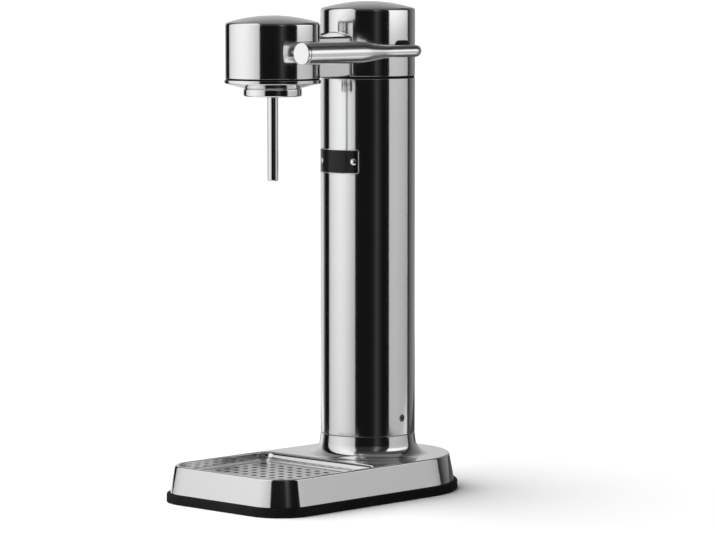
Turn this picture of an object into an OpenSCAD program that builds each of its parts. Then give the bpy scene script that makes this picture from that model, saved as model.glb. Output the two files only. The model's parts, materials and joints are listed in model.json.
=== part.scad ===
// Counter-top sparkling water maker: a polished column on a heavy base, with a bottle head
// carried on a short bridge, a side lever, a lift-out drip tray and a screw-in gas cylinder.
// Millimetres, +Z up, front towards -Y, lever on the +X side.
// The origin is on the table, at the middle of the foot.

/* [Base] */
// Width of the rubber foot, the widest part
base_w = 153; // [146:1:170]
// Front-to-back length of the rubber foot
base_d = 258; // [240:1:290]
// Radius of the two front corners of the foot
front_r = 33; // [28:1:40]
// Height of the rubber foot
foot_h = 7.7; // [7:0.1:11]
// Thickness of the rubber floor under the base plate
foot_floor = 3; // [2:0.1:3.5]
// Width of the rubber rim around the base plate
foot_rim = 6; // [5:0.5:8]
// Rounding of the rubber rim
foot_edge = 1.5; // [1:0.1:2.5]
// Thickness of the steel plate that closes the base
plate_t = 2; // [1.5:0.1:3]
// Height of the deck above the table
deck_z = 30.5; // [28:0.5:36]
// Inset of the steel shell's lower edge from the foot
shell_inset = 3; // [2:0.5:4]
// How far the steel sides lean in below the deck
shell_lean = 3.9; // [2:0.1:5]
// Sheet thickness of the base shell
shell_t = 2.5; // [2:0.1:3]
// Rounding of the deck's outer edge
deck_edge = 2; // [1:0.1:2.5]

/* [Drip tray] */
// Distance from the column axis forward to the recess
tray_setback = 58.5; // [57:0.5:66]
// Width of the steel rim left around the recess
tray_rim = 3.6; // [3:0.1:6]
// Depth of the recess floor below the deck
recess_depth = 16.5; // [14:0.5:17]
// Depth of the perforated plate below the deck
grid_drop = 8; // [6:0.5:10]
// Radius of the recess's two rear corners
recess_r = 10; // [6:1:16]
// Play of the tray in its recess, each side
tray_play = 0.6; // [0.4:0.1:1.2]
// Thickness of the perforated plate
grid_t = 1.2; // [0.8:0.1:2]
// Height of the tray's raised edge above its plate
lip_h = 2; // [1.5:0.5:5]
// Thickness of the tray's raised edge
lip_t = 1.6; // [1:0.1:2.5]
// Diameter of a drain hole
hole_d = 5; // [3:0.1:6]
// Distance between drain holes
hole_pitch = 10.6; // [9:0.1:14]
// Plain border between the tray's edge and the first holes
hole_margin = 9; // [7:0.5:14]
// Diameter of a tray foot
tray_foot_d = 9; // [6:0.5:12]

/* [Column] */
// Outside diameter of the column
column_d = 80; // [76:0.5:84]
// Wall of the column tube
column_wall = 1.2; // [0.8:0.1:2]
// Height of the base's collar above the deck
collar_h = 17.5; // [14:0.1:20]
// Radius of the hollow blend between collar and deck
collar_blend = 12; // [8:0.5:13]
// Height of the dark joint above the column and under the head
seam_gap = 2; // [1:0.1:2.5]
// How far the dark joint stands back from the polished walls
seam_step = 0.6; // [0.3:0.1:1]
// Height of the ring that joins column and base, inside the column
spigot_rise = 30; // [25:1:40]
// Height of the fixing screw above the column's lower end
fix_screw_rise = 15; // [12:0.5:20]
// Diameter of the fixing screw
fix_screw_d = 6; // [4:0.5:7]

/* [Head] */
// Height of the column cap's crown above the table
overall_h = 413.5; // [408:0.5:425]
// Height of the column cap, from its lower edge to its crown
cap_h = 62.5; // [61:0.5:70]
// How much lower the bottle head's crown is
head_lower = 11; // [6:0.5:14]
// Distance from the column axis to the bottle head's axis
head_reach = 113; // [108:0.5:122]
// Outside diameter of the bottle head
head_d = 78.4; // [76:0.1:82]
// Rise of both domed tops
dome_rise = 6.2; // [5:0.1:10]
// Rounding between wall and dome
dome_edge = 2.8; // [2:0.1:4]
// Wall of the cap and the head
can_wall = 1.5; // [1:0.1:1.8]
// Width of the bridge
bridge_w = 31; // [28:0.5:34]
// Height of the bridge's flat sides
bridge_side_h = 32.5; // [30:0.5:35]
// Rise of the bridge's crowned top above its sides
bridge_crown = 4; // [2:0.5:6]
// Rounding of the bridge's lower edges
bridge_edge = 1.5; // [0.5:0.1:2.5]
// Wall of the bridge
bridge_wall = 1.5; // [1:0.1:1.8]
// Thickness of the chassis plate inside the head
chassis_t = 4; // [3:0.5:5]

/* [Bottle socket] */
// Depth of the dished cover under the head
dish_h = 6.2; // [5:0.1:8]
// How far the dished cover's rim stands out past the head
dish_lip = 0.8; // [0.4:0.1:1.5]
// Outside diameter of the polished ring round the bottle mouth
ring_d = 48.5; // [47:0.5:52]
// Height of that ring
ring_h = 6.8; // [5:0.1:9]
// Bore of the bottle socket
socket_bore = 38; // [36:0.5:39]
// Outside diameter of the nozzle
nozzle_d = 9; // [8:0.1:11]
// Bore of the nozzle
nozzle_bore = 6; // [4:0.1:7]
// Length of nozzle that hangs below the ring
nozzle_drop = 69.5; // [50:0.5:85]

/* [Lever] */
// Length of the lever from its pivot to its front face
lever_len = 140.5; // [130:0.5:155]
// Distance of the lever's grip from the column axis
lever_side = 60; // [57:0.5:64]
// Diameter of the grip
lever_d = 18; // [14:0.5:20]
// Diameter of the tail and the axle
lever_tail_d = 10; // [8:0.5:12]
// Length of the thick grip
lever_grip = 63.5; // [55:0.5:75]
// Length of the taper behind the grip
lever_taper = 42; // [24:1:50]
// Bend radius of the tail at the axle
lever_bend = 7; // [6:0.5:10]
// Thickness of the disc on the grip's end
lever_disc_t = 3.2; // [2:0.1:5]
// Height of the pivot above the joint line
pivot_rise = 21.5; // [21:0.5:26]
// Width of the black bush's plate where the lever enters the cap
bush_w = 16.6; // [15:0.1:19]
// Height of that plate above the lever's axis
bush_rise = 8.5; // [7:0.1:9.5]

/* [Gas cylinder] */
// Outside diameter of the gas cylinder
cylinder_d = 60; // [56:0.5:62]
// Wall of the gas cylinder
cylinder_wall = 2.5; // [2:0.1:4]
// Height of the cylinder's underside above the table
cylinder_lift = 5; // [4:0.5:8]
// Diameter of the cylinder's thread
thread_d = 21; // [18:0.5:22]
// Length of the cylinder's thread
thread_len = 16.5; // [13:0.5:18]

/* [Badge] */
// Width of the badge plate, straight across
badge_w = 45; // [34:1:50]
// Height of the badge plate
badge_h = 21.3; // [16:0.1:28]
// Distance of the badge's middle below the column's upper end
badge_drop = 69.2; // [20:0.1:200]
// Width of its bright border
badge_border = 1.1; // [0.8:0.1:2]
// Distance of each rivet from the badge's middle, straight across
rivet_off = 18; // [12:0.5:18.5]
// Diameter of a rivet head
rivet_d = 5.4; // [3:0.1:6]

/* [Hidden] */
$fn = 96;

// Clearances and small common sizes
fit = 0.1;          // radial gap of parts pushed together
run = 0.05;         // radial gap of a turning or sliding pair
over = 1;           // how far a cut runs past a face
thread_gap = 0.3;   // radial gap of a thread that a hand screws in
guide_gap = 0.5;    // radial gap of the gas cylinder in its guide
plate_gap = 0.2;    // gap between the chassis and the bridge's floor
arc_steps = 8;      // straight steps in a rounded edge
dome_steps = 14;    // straight steps from a dome's crown to its edge

// Places of the main axes
half_w = base_w / 2;
column_y = base_d / 2 - half_w;
head_y = column_y - head_reach;
corner_x = half_w - front_r;
corner_y = front_r - base_d / 2;

// Base
shell_top_inset = shell_inset + shell_lean;
lean_per_mm = shell_lean / (deck_z - foot_h);
plate_top = foot_floor + plate_t;
recess_z = deck_z - recess_depth;
recess_back = column_y - tray_setback;
recess_inset = shell_top_inset + tray_rim;
boss_d = 10;
boss_hole_d = 3.3;
boss_hole_h = 5;
screw_d = 3;
screw_head_d = 6;
small_head_d = 5;
screw_head_h = 2;
foot_hole_gap = 1;
base_screw_grip = 4;
boss_front_y = corner_y;
boss_back = 42;
boss_back_y = column_y + boss_back;
boss_x = half_w / 2;
boss_places = [[-corner_x, boss_front_y], [corner_x, boss_front_y],
    [-boss_x, boss_back_y], [boss_x, boss_back_y]];
grid_z = deck_z - grid_drop;
tray_inset = recess_inset + tray_play;
tray_back = recess_back - tray_play;
tray_front = tray_inset - base_d / 2;
tray_half_w = half_w - tray_inset;
tray_front_r = front_r - tray_inset;
tray_back_r = recess_r - tray_play;

// Column
column_r = column_d / 2;
column_in_r = column_r - column_wall;
column_z = deck_z + collar_h;
can_z = overall_h - cap_h;
seam_z = can_z - seam_gap;
cylinder_r = cylinder_d / 2;
bay_wall_gap = 1.5;
bay_r = cylinder_r + bay_wall_gap;
plate_hole_gap = 3;
plate_hole_r = cylinder_r + plate_hole_gap;
spigot_flange_t = 3.5;
spigot_flange_w = 11;
spigot_flange_r = column_r + spigot_flange_w;
spigot_top = column_z + spigot_rise;
spigot_screw_r = (column_r + spigot_flange_r) / 2;
spigot_screw_turns = [45, 135, 225, 315];
spigot_screw_grip = 2;
fix_screw_z = column_z + fix_screw_rise;
guide_h = 12;

// Levels of the head, counted up from the cap's lower edge
bridge_in_w = bridge_w - 2 * bridge_wall;
bridge_top = can_z + bridge_side_h + bridge_crown;
bridge_passage_h = bridge_side_h - 2 * bridge_wall;
chassis_z = can_z + bridge_wall + plate_gap;
chassis_top = chassis_z + chassis_t;
chassis_bar_gap = 1.5;
chassis_bar_w = bridge_in_w - 2 * chassis_bar_gap;
cap_in_r = column_r - can_wall;
head_r = head_d / 2;
head_in_r = head_r - can_wall;
head_top = overall_h - head_lower;
gasket_seat = 1.3;
gasket_in_r = column_in_r - gasket_seat;
upper_ring_w = 9;
upper_ring_in_r = cap_in_r - upper_ring_w;
upper_ring_depth = 27;
upper_screw_r = (upper_ring_in_r + gasket_in_r) / 2;
upper_screw_turns = [90, 210, 330];
upper_screw_grip = 8;
screw_edge = 0.5;
chassis_cap_r = upper_screw_r + small_head_d / 2 + screw_edge;
screw_hole_spare = 2;
pivot_z = can_z + pivot_rise;

// Lever and cam
axle_r = lever_tail_d / 2;
hub_wall = 1.5;
hub_r = axle_r + hub_wall;
lobe_r = 5;
lobe_off = 9;
lobe_flat = 0.2;
cam_w = 10;
cam_gap = 0.1;
cam_screw_sink = 0.5;
cam_screw_len = lobe_off + lobe_r - axle_r - cam_screw_sink;
cam_top_z = pivot_z - hub_r - cam_gap;
axle_left = -30;
ear_in = 20;
ear_t = 5;
ear_w = 17;
bracket_t = 2;
bracket_tail = 10;
axle_bush_wall = 1.5;
axle_bush_d = lever_tail_d + 2 * axle_bush_wall;
clip_t = 1.2;
lever_bush_wall = 1.5;
lever_bush_d = lever_tail_d + 2 * lever_bush_wall;
lever_bush_depth = 4;
bush_plate_t = 0.6;
bush_plate_gap = 0.02;
bush_below = 4.4;
bush_corner = 4.2;
clip_w = 2;
clip_d = lever_tail_d + 2 * clip_w;
clip_gap = 0.3;

// Valve above the gas cylinder
valve_block_r = 20;
valve_neck_r = 7.5;
valve_seat_drop = 4.5;
socket_end_z = can_z - valve_seat_drop;
washer_t = 1.4;
washer_inset = 1;
valve_top_z = socket_end_z - washer_t - run;
block_gap = 0.3;
block_bottom_z = valve_top_z - thread_len + block_gap;
chamber_r = 4.2;
chamber_h = 4;
guide_r = 3.05;
plunger_r = guide_r - 2 * run;
pocket_r = 6.2;
pocket_floor = 0.8;
pocket_z = chassis_z + pocket_floor;
neck_top = chassis_top + bracket_t;
plunger_rest = 0.6;
plunger_low = socket_end_z + plunger_rest;
plunger_head_r = 5.9;
plunger_head_h = 2.8;
plunger_seal_t = 1.5;
plunger_wire_r = 0.45;
spring_turns = 5;
valve_screw_r = 14.5;
valve_screw_grip = 6;
valve_screw_turns = [0, 90, 180];
hose_x = -10;
hose_dy = 13;
hose_r = 2.5;
hose_bore_r = 1.5;
hose_bend = 7;
hose_rise = 2.8;
hose_z = chassis_top + hose_rise + hose_bend;
ferrule_r = 4;
ferrule_h = 4;

// Bottle head
dish_top = seam_z;
ring_top = dish_top - dish_h;
ring_z = ring_top - ring_h;
ring_r = ring_d / 2;
ring_wall = 1.9;
ring_lip = 0.8;
socket_r = ring_r - ring_wall - fit;
socket_bore_r = socket_bore / 2;
socket_flange_w = 8;
socket_flange_t = 3;
socket_roof_t = 3.2;
socket_flange_r = socket_r + socket_flange_w;
socket_flange_z = chassis_z - socket_flange_t;
socket_roof_z = chassis_z - socket_roof_t;
socket_screw_r = socket_r + socket_flange_w / 2;
socket_screw_grip = 2;
chassis_head_r = socket_screw_r + screw_head_d / 2 + screw_edge;
thread_groove_h = 1.5;
thread_groove_depth = 1;
thread_groove_z = 2;
socket_screw_turns = [0, 120, 240];
dish_t = 1.4;
dish_bend = 1;
dish_inner_bend = 0.5;
dish_side = 2.1;
dish_wall = 3.2;
head_gasket_seat = 2;
spigot_r = 8;
spigot_below = 4;
seal_h = 2.5;
seal_gap = 2;
manifold_w = 32;
manifold_d = 26;
manifold_h = 14;
manifold_top = chassis_top + manifold_h;
manifold_low = socket_roof_z - spigot_below;
manifold_screws_at = [[12, 9], [-12, -9]];
nozzle_r = nozzle_d / 2;
nozzle_z = ring_z - nozzle_drop;
nozzle_chamber = 4;
nozzle_top = hose_z - nozzle_chamber;
nozzle_edge = 1;
nozzle_nut_h = 3.5;
tip_len = 8;
tip_set_in = 0.5;
tip_hole_r = 0.5;
relief_x = 8;
relief_r = 6;
relief_bore_r = 3.5;
relief_h = 14;
relief_roof = 2;
poppet_h = 4;
relief_lift = 2;
relief_vent_r = 1;
poppet_stem_r = 1.4;
relief_coil_r = 2.4;
relief_wire_r = 0.4;

// Badge, as heights above the column's wall
badge_z = seam_z - badge_drop;
badge_back = 0.02;
badge_field = 0.6;
badge_proud = 1.2;
inlay_t = 0.3;
badge_corner = 2.5;
badge_corner_least = 0.5;

// Gas cylinder
valve_flange_h = 6;
valve_flange_r = 14;
valve_neck_len = 14;
valve_shank_r = 9;
cylinder_neck_r = 13.5;
cylinder_neck_h = 10;
cylinder_top = block_bottom_z - block_gap - valve_flange_h;
shoulder_h = 24;
pin_r = 2.6;
pin_len = 16;
pin_bore_r = pin_r + fit;
pin_mouth_r = 3.2;
pin_mouth_depth = 8;
pin_spare = 6;
pin_top = plunger_low - cam_gap;

// Points of an arc about [x, z], from one angle to another
function arc(x, z, r, from, to, steps) =
    [for (i = [0 : steps]) let (a = from + (to - from) * i / steps) [x + r * cos(a), z + r * sin(a)]];

// Height at which a base boss runs into the sheet above it
function boss_roof(y) = (y > recess_back ? deck_z : recess_z) - shell_t / 2;

// A list, back to front
function reversed(list) = [for (i = [len(list) - 1 : -1 : 0]) list[i]];

// Outline of a domed can from its crown to its lower edge, for a wall at radius r.
// The dome's centre stays put when the can is thinned to its inside.
function can_outline(r, edge, z_low, dome_r, dome_centre) =
    let (
        x = r - edge,
        z = dome_centre + sqrt(pow(dome_r - edge, 2) - x * x),
        meet = atan2(z - dome_centre, x)
    )
    concat(
        arc(0, dome_centre, dome_r, 90, meet, dome_steps),
        [for (p = arc(x, z, edge, meet, 0, arc_steps)) if (p[1] < z + edge * sin(meet) - 0.001) p],
        [[r, z_low]]
    );

// Points of a round wire wound about +Z from z0 to z1, as rings of a swept tube
module coil_spring(mean_r, wire_r, z0, z1, turns) {
    sides = 6;
    rings = turns * 12;
    rise = (z1 - z0 - 2 * wire_r) / rings;
    points = [
        for (i = [0 : rings], j = [0 : sides - 1])
            let (turn = 360 * turns * i / rings, a = 360 * j / sides, r = mean_r + wire_r * cos(a))
            [r * cos(turn), r * sin(turn), z0 + wire_r + rise * i + wire_r * sin(a)]
    ];
    last = rings * sides;
    faces = concat(
        [for (i = [0 : rings - 1], j = [0 : sides - 1])
            [i * sides + j, i * sides + (j + 1) % sides, (i + 1) * sides + j]],
        [for (i = [0 : rings - 1], j = [0 : sides - 1])
            [i * sides + (j + 1) % sides, (i + 1) * sides + (j + 1) % sides, (i + 1) * sides + j]],
        [for (j = [1 : sides - 2]) [0, j + 1, j]],
        [for (j = [1 : sides - 2]) [last, last + j, last + j + 1]]
    );
    polyhedron(points, faces);
}

// The base's plan: round behind, about the column axis, and square in front with two round corners.
// The wall is inset by in0 at height z0 and by in1 at height z1.
module plan_block(z0, z1, in0, in1) {
    translate([0, column_y, 0])
        rotate_extrude(angle = 180)
            polygon([[0, z0], [half_w - in0, z0], [half_w - in1, z1], [0, z1]]);
    translate([0, column_y, 0])
        rotate([90, 0, 0])
            linear_extrude(column_y - corner_y)
                polygon([[in0 - half_w, z0], [half_w - in0, z0], [half_w - in1, z1], [in1 - half_w, z1]]);
    for (side = [-1, 1])
        translate([side * corner_x, corner_y, 0])
            rotate([0, 0, side > 0 ? 270 : 180])
                rotate_extrude(angle = 90)
                    polygon([[0, z0], [front_r - in0, z0], [front_r - in1, z1], [0, z1]]);
    translate([-corner_x, corner_y, 0])
        rotate([90, 0, 90])
            linear_extrude(2 * corner_x)
                polygon([[0, z0], [in0 - front_r, z0], [in1 - front_r, z1], [0, z1]]);
}

// A slab with the base's round front corners and its own rear corners, from z0 to z1
module tray_slab(inset, back, back_r, z0, z1) {
    wide = half_w - inset;
    r = front_r - inset;
    front = inset - base_d / 2;
    h = z1 - z0;
    translate([0, 0, z0]) {
        for (side = [-1, 1]) {
            translate([side * (wide - r), front + r, 0])
                rotate([0, 0, side > 0 ? 270 : 180])
                    rotate_extrude(angle = 90)
                        square([r, h]);
            translate([side * (wide - back_r), back - back_r, 0])
                rotate([0, 0, side > 0 ? 0 : 90])
                    rotate_extrude(angle = 90)
                        square([back_r, h]);
        }
        translate([r - wide, front, 0])
            cube([2 * (wide - r), r, h]);
        translate([-wide, front + r, 0])
            cube([2 * wide, back - back_r - front - r, h]);
        translate([back_r - wide, back - back_r, 0])
            cube([2 * (wide - back_r), back_r, h]);
    }
}

// A tube standing on z0
module tube(r_out, r_in, z0, z1) {
    translate([0, 0, z0])
        difference() {
            cylinder(r = r_out, h = z1 - z0);
            translate([0, 0, -over])
                cylinder(r = r_in, h = z1 - z0 + 2 * over);
        }
}

// A pan-head screw along +Z, with its head's underside at z = 0 and a hexagon recess
module cap_screw(d, head_d, head_h, length) {
    difference() {
        union() {
            translate([0, 0, -length])
                cylinder(d = d, h = length);
            cylinder(d = head_d, h = head_h);
        }
        translate([0, 0, head_h * 0.4])
            cylinder(d = head_d * 0.5, h = head_h, $fn = 6);
    }
}

// Copies the children to turns about the column or head axis
module turned(y, turns, r) {
    for (turn = turns)
        translate([0, y, 0])
            rotate([0, 0, turn])
                translate([r, 0, 0])
                    children();
}

module rubber_foot() {
    color("#161616")
        difference() {
            union() {
                plan_block(0, foot_edge, foot_edge, 0);
                plan_block(foot_edge, foot_h - foot_edge, 0, 0);
                plan_block(foot_h - foot_edge, foot_h, 0, foot_edge);
            }
            plan_block(foot_floor, foot_h + over, foot_rim, foot_rim);
            translate([0, column_y, -over])
                cylinder(r = plate_hole_r, h = foot_h + 2 * over);
            for (p = boss_places)
                translate([p[0], p[1], -over])
                    cylinder(d = screw_head_d + 2 * foot_hole_gap, h = foot_h);
        }
}

module base_plate() {
    color("#55585c")
        difference() {
            plan_block(foot_floor, plate_top, foot_rim + fit, foot_rim + fit);
            translate([0, column_y, 0])
                cylinder(r = plate_hole_r, h = plate_top + over);
            for (p = boss_places)
                translate([p[0], p[1], 0])
                    cylinder(d = screw_d + 2 * fit, h = plate_top + over);
        }
}

module base_screws() {
    color("#b9bcc0")
        for (p = boss_places)
            translate([p[0], p[1], foot_floor])
                rotate([180, 0, 0])
                    cap_screw(screw_d, screw_head_d, screw_head_h, plate_t + base_screw_grip);
}

module collar_profile() {
    polygon(concat(
        [[column_in_r, deck_z - shell_t], [column_r + collar_blend + shell_t, deck_z - shell_t]],
        [[column_r + collar_blend + shell_t, deck_z]],
        arc(column_r + collar_blend, deck_z + collar_blend, collar_blend, 270, 180, arc_steps),
        [[column_r, column_z], [column_in_r, column_z]]
    ));
}

module base_shell() {
    edge_z = deck_z - deck_edge;
    edge_inset = shell_inset + lean_per_mm * (edge_z - foot_h);
    pan_low = recess_z - shell_t;
    wall_inset = shell_inset + shell_t;
    color("#d6d8da")
        union() {
            difference() {
                union() {
                    plan_block(foot_h, edge_z, shell_inset, edge_inset);
                    plan_block(edge_z, deck_z, edge_inset, edge_inset + deck_edge * 0.7);
                }
                plan_block(foot_h - over, pan_low, wall_inset, wall_inset + lean_per_mm * (pan_low - foot_h));
                intersection() {
                    plan_block(foot_h - over, deck_z - shell_t, wall_inset, shell_top_inset + shell_t);
                    translate([-base_w, recess_back + shell_t, 0])
                        cube([2 * base_w, base_d, deck_z]);
                }
                tray_slab(recess_inset, recess_back, recess_r, recess_z, deck_z + over);
                translate([0, column_y, 0])
                    cylinder(r = column_r + collar_blend, h = deck_z + over);
            }
            difference() {
                translate([0, column_y, 0])
                    rotate_extrude()
                        collar_profile();
                turned(column_y, spigot_screw_turns, spigot_screw_r)
                    translate([0, 0, deck_z - shell_t - over])
                        cylinder(d = screw_d + 2 * run, h = over + spigot_screw_grip + fit);
            }
            for (p = boss_places)
                translate([p[0], p[1], plate_top])
                    difference() {
                        cylinder(d = boss_d, h = boss_roof(p[1]) - plate_top);
                        translate([0, 0, -over])
                            cylinder(d = boss_hole_d, h = boss_hole_h + over);
                    }
        }
}

// Drain holes stand on a square grid, and only where the tray's round corners leave the border whole
module drain_holes() {
    reach_x = tray_half_w - hole_margin;
    reach_y = tray_back - tray_front - 2 * hole_margin;
    columns = floor(reach_x / hole_pitch);
    rows = floor(reach_y / hole_pitch);
    first_y = (tray_back + tray_front - rows * hole_pitch) / 2;
    for (i = [-columns : columns], j = [0 : rows]) {
        x = i * hole_pitch;
        y = first_y + j * hole_pitch;
        dx = max(0, abs(x) - (tray_half_w - tray_front_r));
        dy = max(0, tray_front + tray_front_r - y);
        if (norm([dx, dy]) < tray_front_r - hole_margin + hole_d / 2)
            translate([x, y, grid_z - grid_t - over])
                cylinder(d = hole_d, h = grid_t + 2 * over, $fn = 24);
    }
}

module drip_tray() {
    color("#c9cbcd")
        difference() {
            tray_slab(tray_inset, tray_back, tray_back_r, grid_z - grid_t, grid_z + lip_h);
            tray_slab(tray_inset + lip_t, tray_back - lip_t, tray_back_r - lip_t,
                grid_z, grid_z + lip_h + over);
            drain_holes();
        }
}

module tray_feet() {
    inset_x = tray_half_w - tray_foot_d;
    front = tray_front + tray_front_r;
    back = tray_back - tray_back_r;
    color("#1b1b1b")
        for (x = [-inset_x, inset_x], y = [front, back])
            translate([x, y, recess_z])
                cylinder(d = tray_foot_d, h = grid_z - grid_t - recess_z);
}

module column_spigot() {
    color("#8b8f94")
        translate([0, column_y, 0])
            difference() {
                union() {
                    tube(column_in_r - fit, bay_r, deck_z - shell_t, spigot_top);
                    tube(spigot_flange_r, bay_r, deck_z - shell_t - spigot_flange_t, deck_z - shell_t);
                }
                translate([0, 0, fix_screw_z])
                    rotate([0, 90, 0])
                        cylinder(d = fix_screw_d, h = column_d);
                turned(0, spigot_screw_turns, spigot_screw_r)
                    cylinder(d = screw_d + 2 * fit, h = deck_z);
            }
}

module spigot_screws() {
    color("#b9bcc0")
        turned(column_y, spigot_screw_turns, spigot_screw_r)
            translate([0, 0, deck_z - shell_t - spigot_flange_t])
                rotate([180, 0, 0])
                    cap_screw(screw_d, screw_head_d, screw_head_h, spigot_flange_t + spigot_screw_grip);
}

module cylinder_guide() {
    color("#242424")
        translate([0, column_y, 0])
            tube(bay_r - fit, cylinder_r + guide_gap, spigot_top - guide_h, spigot_top);
}

module column_tube() {
    color("#d9dbdd")
        translate([0, column_y, 0])
            difference() {
                tube(column_r, column_in_r, column_z, seam_z);
                translate([0, 0, fix_screw_z])
                    rotate([0, 90, 0])
                        cylinder(d = fix_screw_d + 2 * fit, h = column_d);
                rivets_at()
                    cylinder(d = rivet_d * 0.5 + 2 * fit, h = column_d);
            }
}

module fixing_screw() {
    set_in = 0.4;
    depth = (column_in_r - fit - bay_r) * 0.9;
    tip_x = column_r - depth - column_wall;
    color("#4a4c50")
        translate([tip_x, column_y, fix_screw_z])
            rotate([0, 90, 0])
                difference() {
                    cylinder(d = fix_screw_d - 2 * run, h = column_r - set_in - tip_x);
                    translate([0, 0, depth * 0.5])
                        cylinder(d = fix_screw_d * 0.55, h = column_d, $fn = 6);
                }
}

// Turns the children so that their +Z leaves the column at each rivet
module rivets_at() {
    turn = asin(rivet_off / column_r);
    for (side = [-1, 1])
        translate([0, 0, badge_z])
            rotate([0, 0, side * turn])
                rotate([90, 0, 0])
                    children();
}

// The part of a ring round the column, from r_in to r_out, that lies behind a rounded rectangle
module badge_piece(r_in, r_out, shrink) {
    w = badge_w - 2 * shrink;
    h = badge_h - 2 * shrink;
    r = max(badge_corner - shrink, badge_corner_least);
    intersection() {
        tube(r_out, r_in, badge_z - badge_h, badge_z + badge_h);
        translate([0, 0, badge_z])
            rotate([90, 0, 0])
                union() {
                    translate([r - w / 2, -h / 2, 0])
                        cube([w - 2 * r, h, column_d]);
                    translate([-w / 2, r - h / 2, 0])
                        cube([w, h - 2 * r, column_d]);
                    for (x = [r - w / 2, w / 2 - r], z = [r - h / 2, h / 2 - r])
                        translate([x, z, 0])
                            cylinder(r = r, h = column_d, $fn = 48);
                }
    }
}

module badge_plate() {
    color("#dcdde0")
        translate([0, column_y, 0])
            difference() {
                badge_piece(column_r + badge_back, column_r + badge_proud, 0);
                badge_piece(column_r + badge_field, column_r + badge_proud + over, badge_border);
                rivets_at()
                    cylinder(d = rivet_d * 0.5 + 2 * fit, h = column_d);
            }
}

module badge_inlay() {
    color("#0d0d0e")
        translate([0, column_y, 0])
            difference() {
                badge_piece(column_r + badge_field, column_r + badge_field + inlay_t, badge_border + fit);
                rivets_at()
                    cylinder(d = rivet_d * 0.5 + 2 * fit, h = column_d);
            }
}

module badge_rivets() {
    seat = column_r + badge_field + inlay_t + fit;
    cap_h = 0.9;
    tail = 1;
    sink = 0.2;
    cap_r = (pow(rivet_d / 2, 2) + cap_h * cap_h) / (2 * cap_h);
    cap_turn = asin(1 - cap_h / cap_r);
    color("#e2e3e5")
        translate([0, column_y, 0])
            rivets_at()
                union() {
                    translate([0, 0, column_in_r - tail])
                        cylinder(d = rivet_d * 0.5, h = seat - column_in_r + tail + sink);
                    translate([0, 0, seat])
                        rotate_extrude()
                            polygon(concat([[0, 0]], arc(0, cap_h - cap_r, cap_r, cap_turn, 90, 5)));
                }
}

module upper_ring() {
    color("#8b8f94")
        translate([0, column_y, 0])
            difference() {
                union() {
                    tube(column_in_r - fit, upper_ring_in_r, seam_z - upper_ring_depth, seam_z);
                    tube(gasket_in_r - fit, upper_ring_in_r, seam_z, chassis_z);
                }
                turned(0, upper_screw_turns, upper_screw_r)
                    translate([0, 0, chassis_z - upper_screw_grip - screw_hole_spare])
                        cylinder(d = screw_d, h = upper_screw_grip + screw_hole_spare + over);
            }
}

module cap_gasket() {
    color("#121212")
        translate([0, column_y, 0])
            tube(column_r - seam_step, gasket_in_r, seam_z, can_z);
}

// A domed can, open below, with its axis on z
module domed_can(r, top, low) {
    dome_r = (r * r + dome_rise * dome_rise) / (2 * dome_rise);
    outside = can_outline(r, dome_edge, low, dome_r, top - dome_r);
    inner_edge = dome_edge - can_wall + 0.5;
    inside = can_outline(r - can_wall, inner_edge, low, dome_r - can_wall, top - dome_r);
    rotate_extrude()
        polygon(concat(outside, reversed(inside)));
}

// The passage through the bridge, cut into the two cans it joins
module bridge_passage() {
    translate([-bridge_in_w / 2, head_y, can_z + bridge_wall])
        cube([bridge_in_w, head_reach, bridge_passage_h]);
}

module column_cap() {
    color("#d9dbdd")
        difference() {
            translate([0, column_y, 0])
                domed_can(column_r, overall_h, can_z);
            bridge_passage();
            translate([0, column_y, pivot_z])
                rotate([0, 90, 0])
                    cylinder(d = lever_bush_d, h = column_d);
        }
}

// The bridge's outline from in front: flat sides under a crowned top
module bridge_section() {
    w = bridge_w / 2;
    crown_r = (w * w + bridge_crown * bridge_crown) / (2 * bridge_crown);
    crown_turn = asin(w / crown_r);
    polygon(concat(
        arc(w - bridge_edge, can_z + bridge_edge, bridge_edge, -90, 0, arc_steps),
        arc(0, bridge_top - crown_r, crown_r, 90 - crown_turn, 90 + crown_turn, dome_steps),
        arc(bridge_edge - w, can_z + bridge_edge, bridge_edge, 180, 270, arc_steps)
    ));
}

module bridge_cover() {
    color("#d6d8da")
        difference() {
            translate([0, column_y, 0])
                rotate([90, 0, 0])
                    linear_extrude(head_reach)
                        bridge_section();
            bridge_passage();
            translate([0, column_y, can_z - over])
                cylinder(r = column_r + run, h = bridge_top - can_z + 2 * over);
            translate([0, head_y, can_z - over])
                cylinder(r = head_r + run, h = bridge_top - can_z + 2 * over);
        }
}

module chassis() {
    color("#7d8186")
        difference() {
            translate([0, 0, chassis_z])
                union() {
                    translate([0, column_y, 0])
                        cylinder(r = chassis_cap_r, h = chassis_t);
                    translate([0, head_y, 0])
                        cylinder(r = chassis_head_r, h = chassis_t);
                    translate([-chassis_bar_w / 2, head_y, 0])
                        cube([chassis_bar_w, head_reach, chassis_t]);
                }
            translate([0, column_y, 0])
                cylinder(r = valve_neck_r + fit, h = overall_h);
            translate([hose_x, column_y - hose_dy, 0])
                cylinder(r = ferrule_r + fit, h = overall_h);
            turned(column_y, upper_screw_turns, upper_screw_r)
                cylinder(d = screw_d + 2 * fit, h = overall_h);
            turned(column_y, valve_screw_turns, valve_screw_r)
                cylinder(d = screw_d + 2 * fit, h = overall_h);
            translate([0, head_y, 0])
                cylinder(r = spigot_r + fit, h = overall_h);
            turned(head_y, socket_screw_turns, socket_screw_r)
                cylinder(d = screw_d + 2 * fit, h = overall_h);
            for (p = manifold_screws_at)
                translate([p[0], head_y + p[1], 0])
                    cylinder(d = screw_d + 2 * fit, h = overall_h);
        }
}

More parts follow.
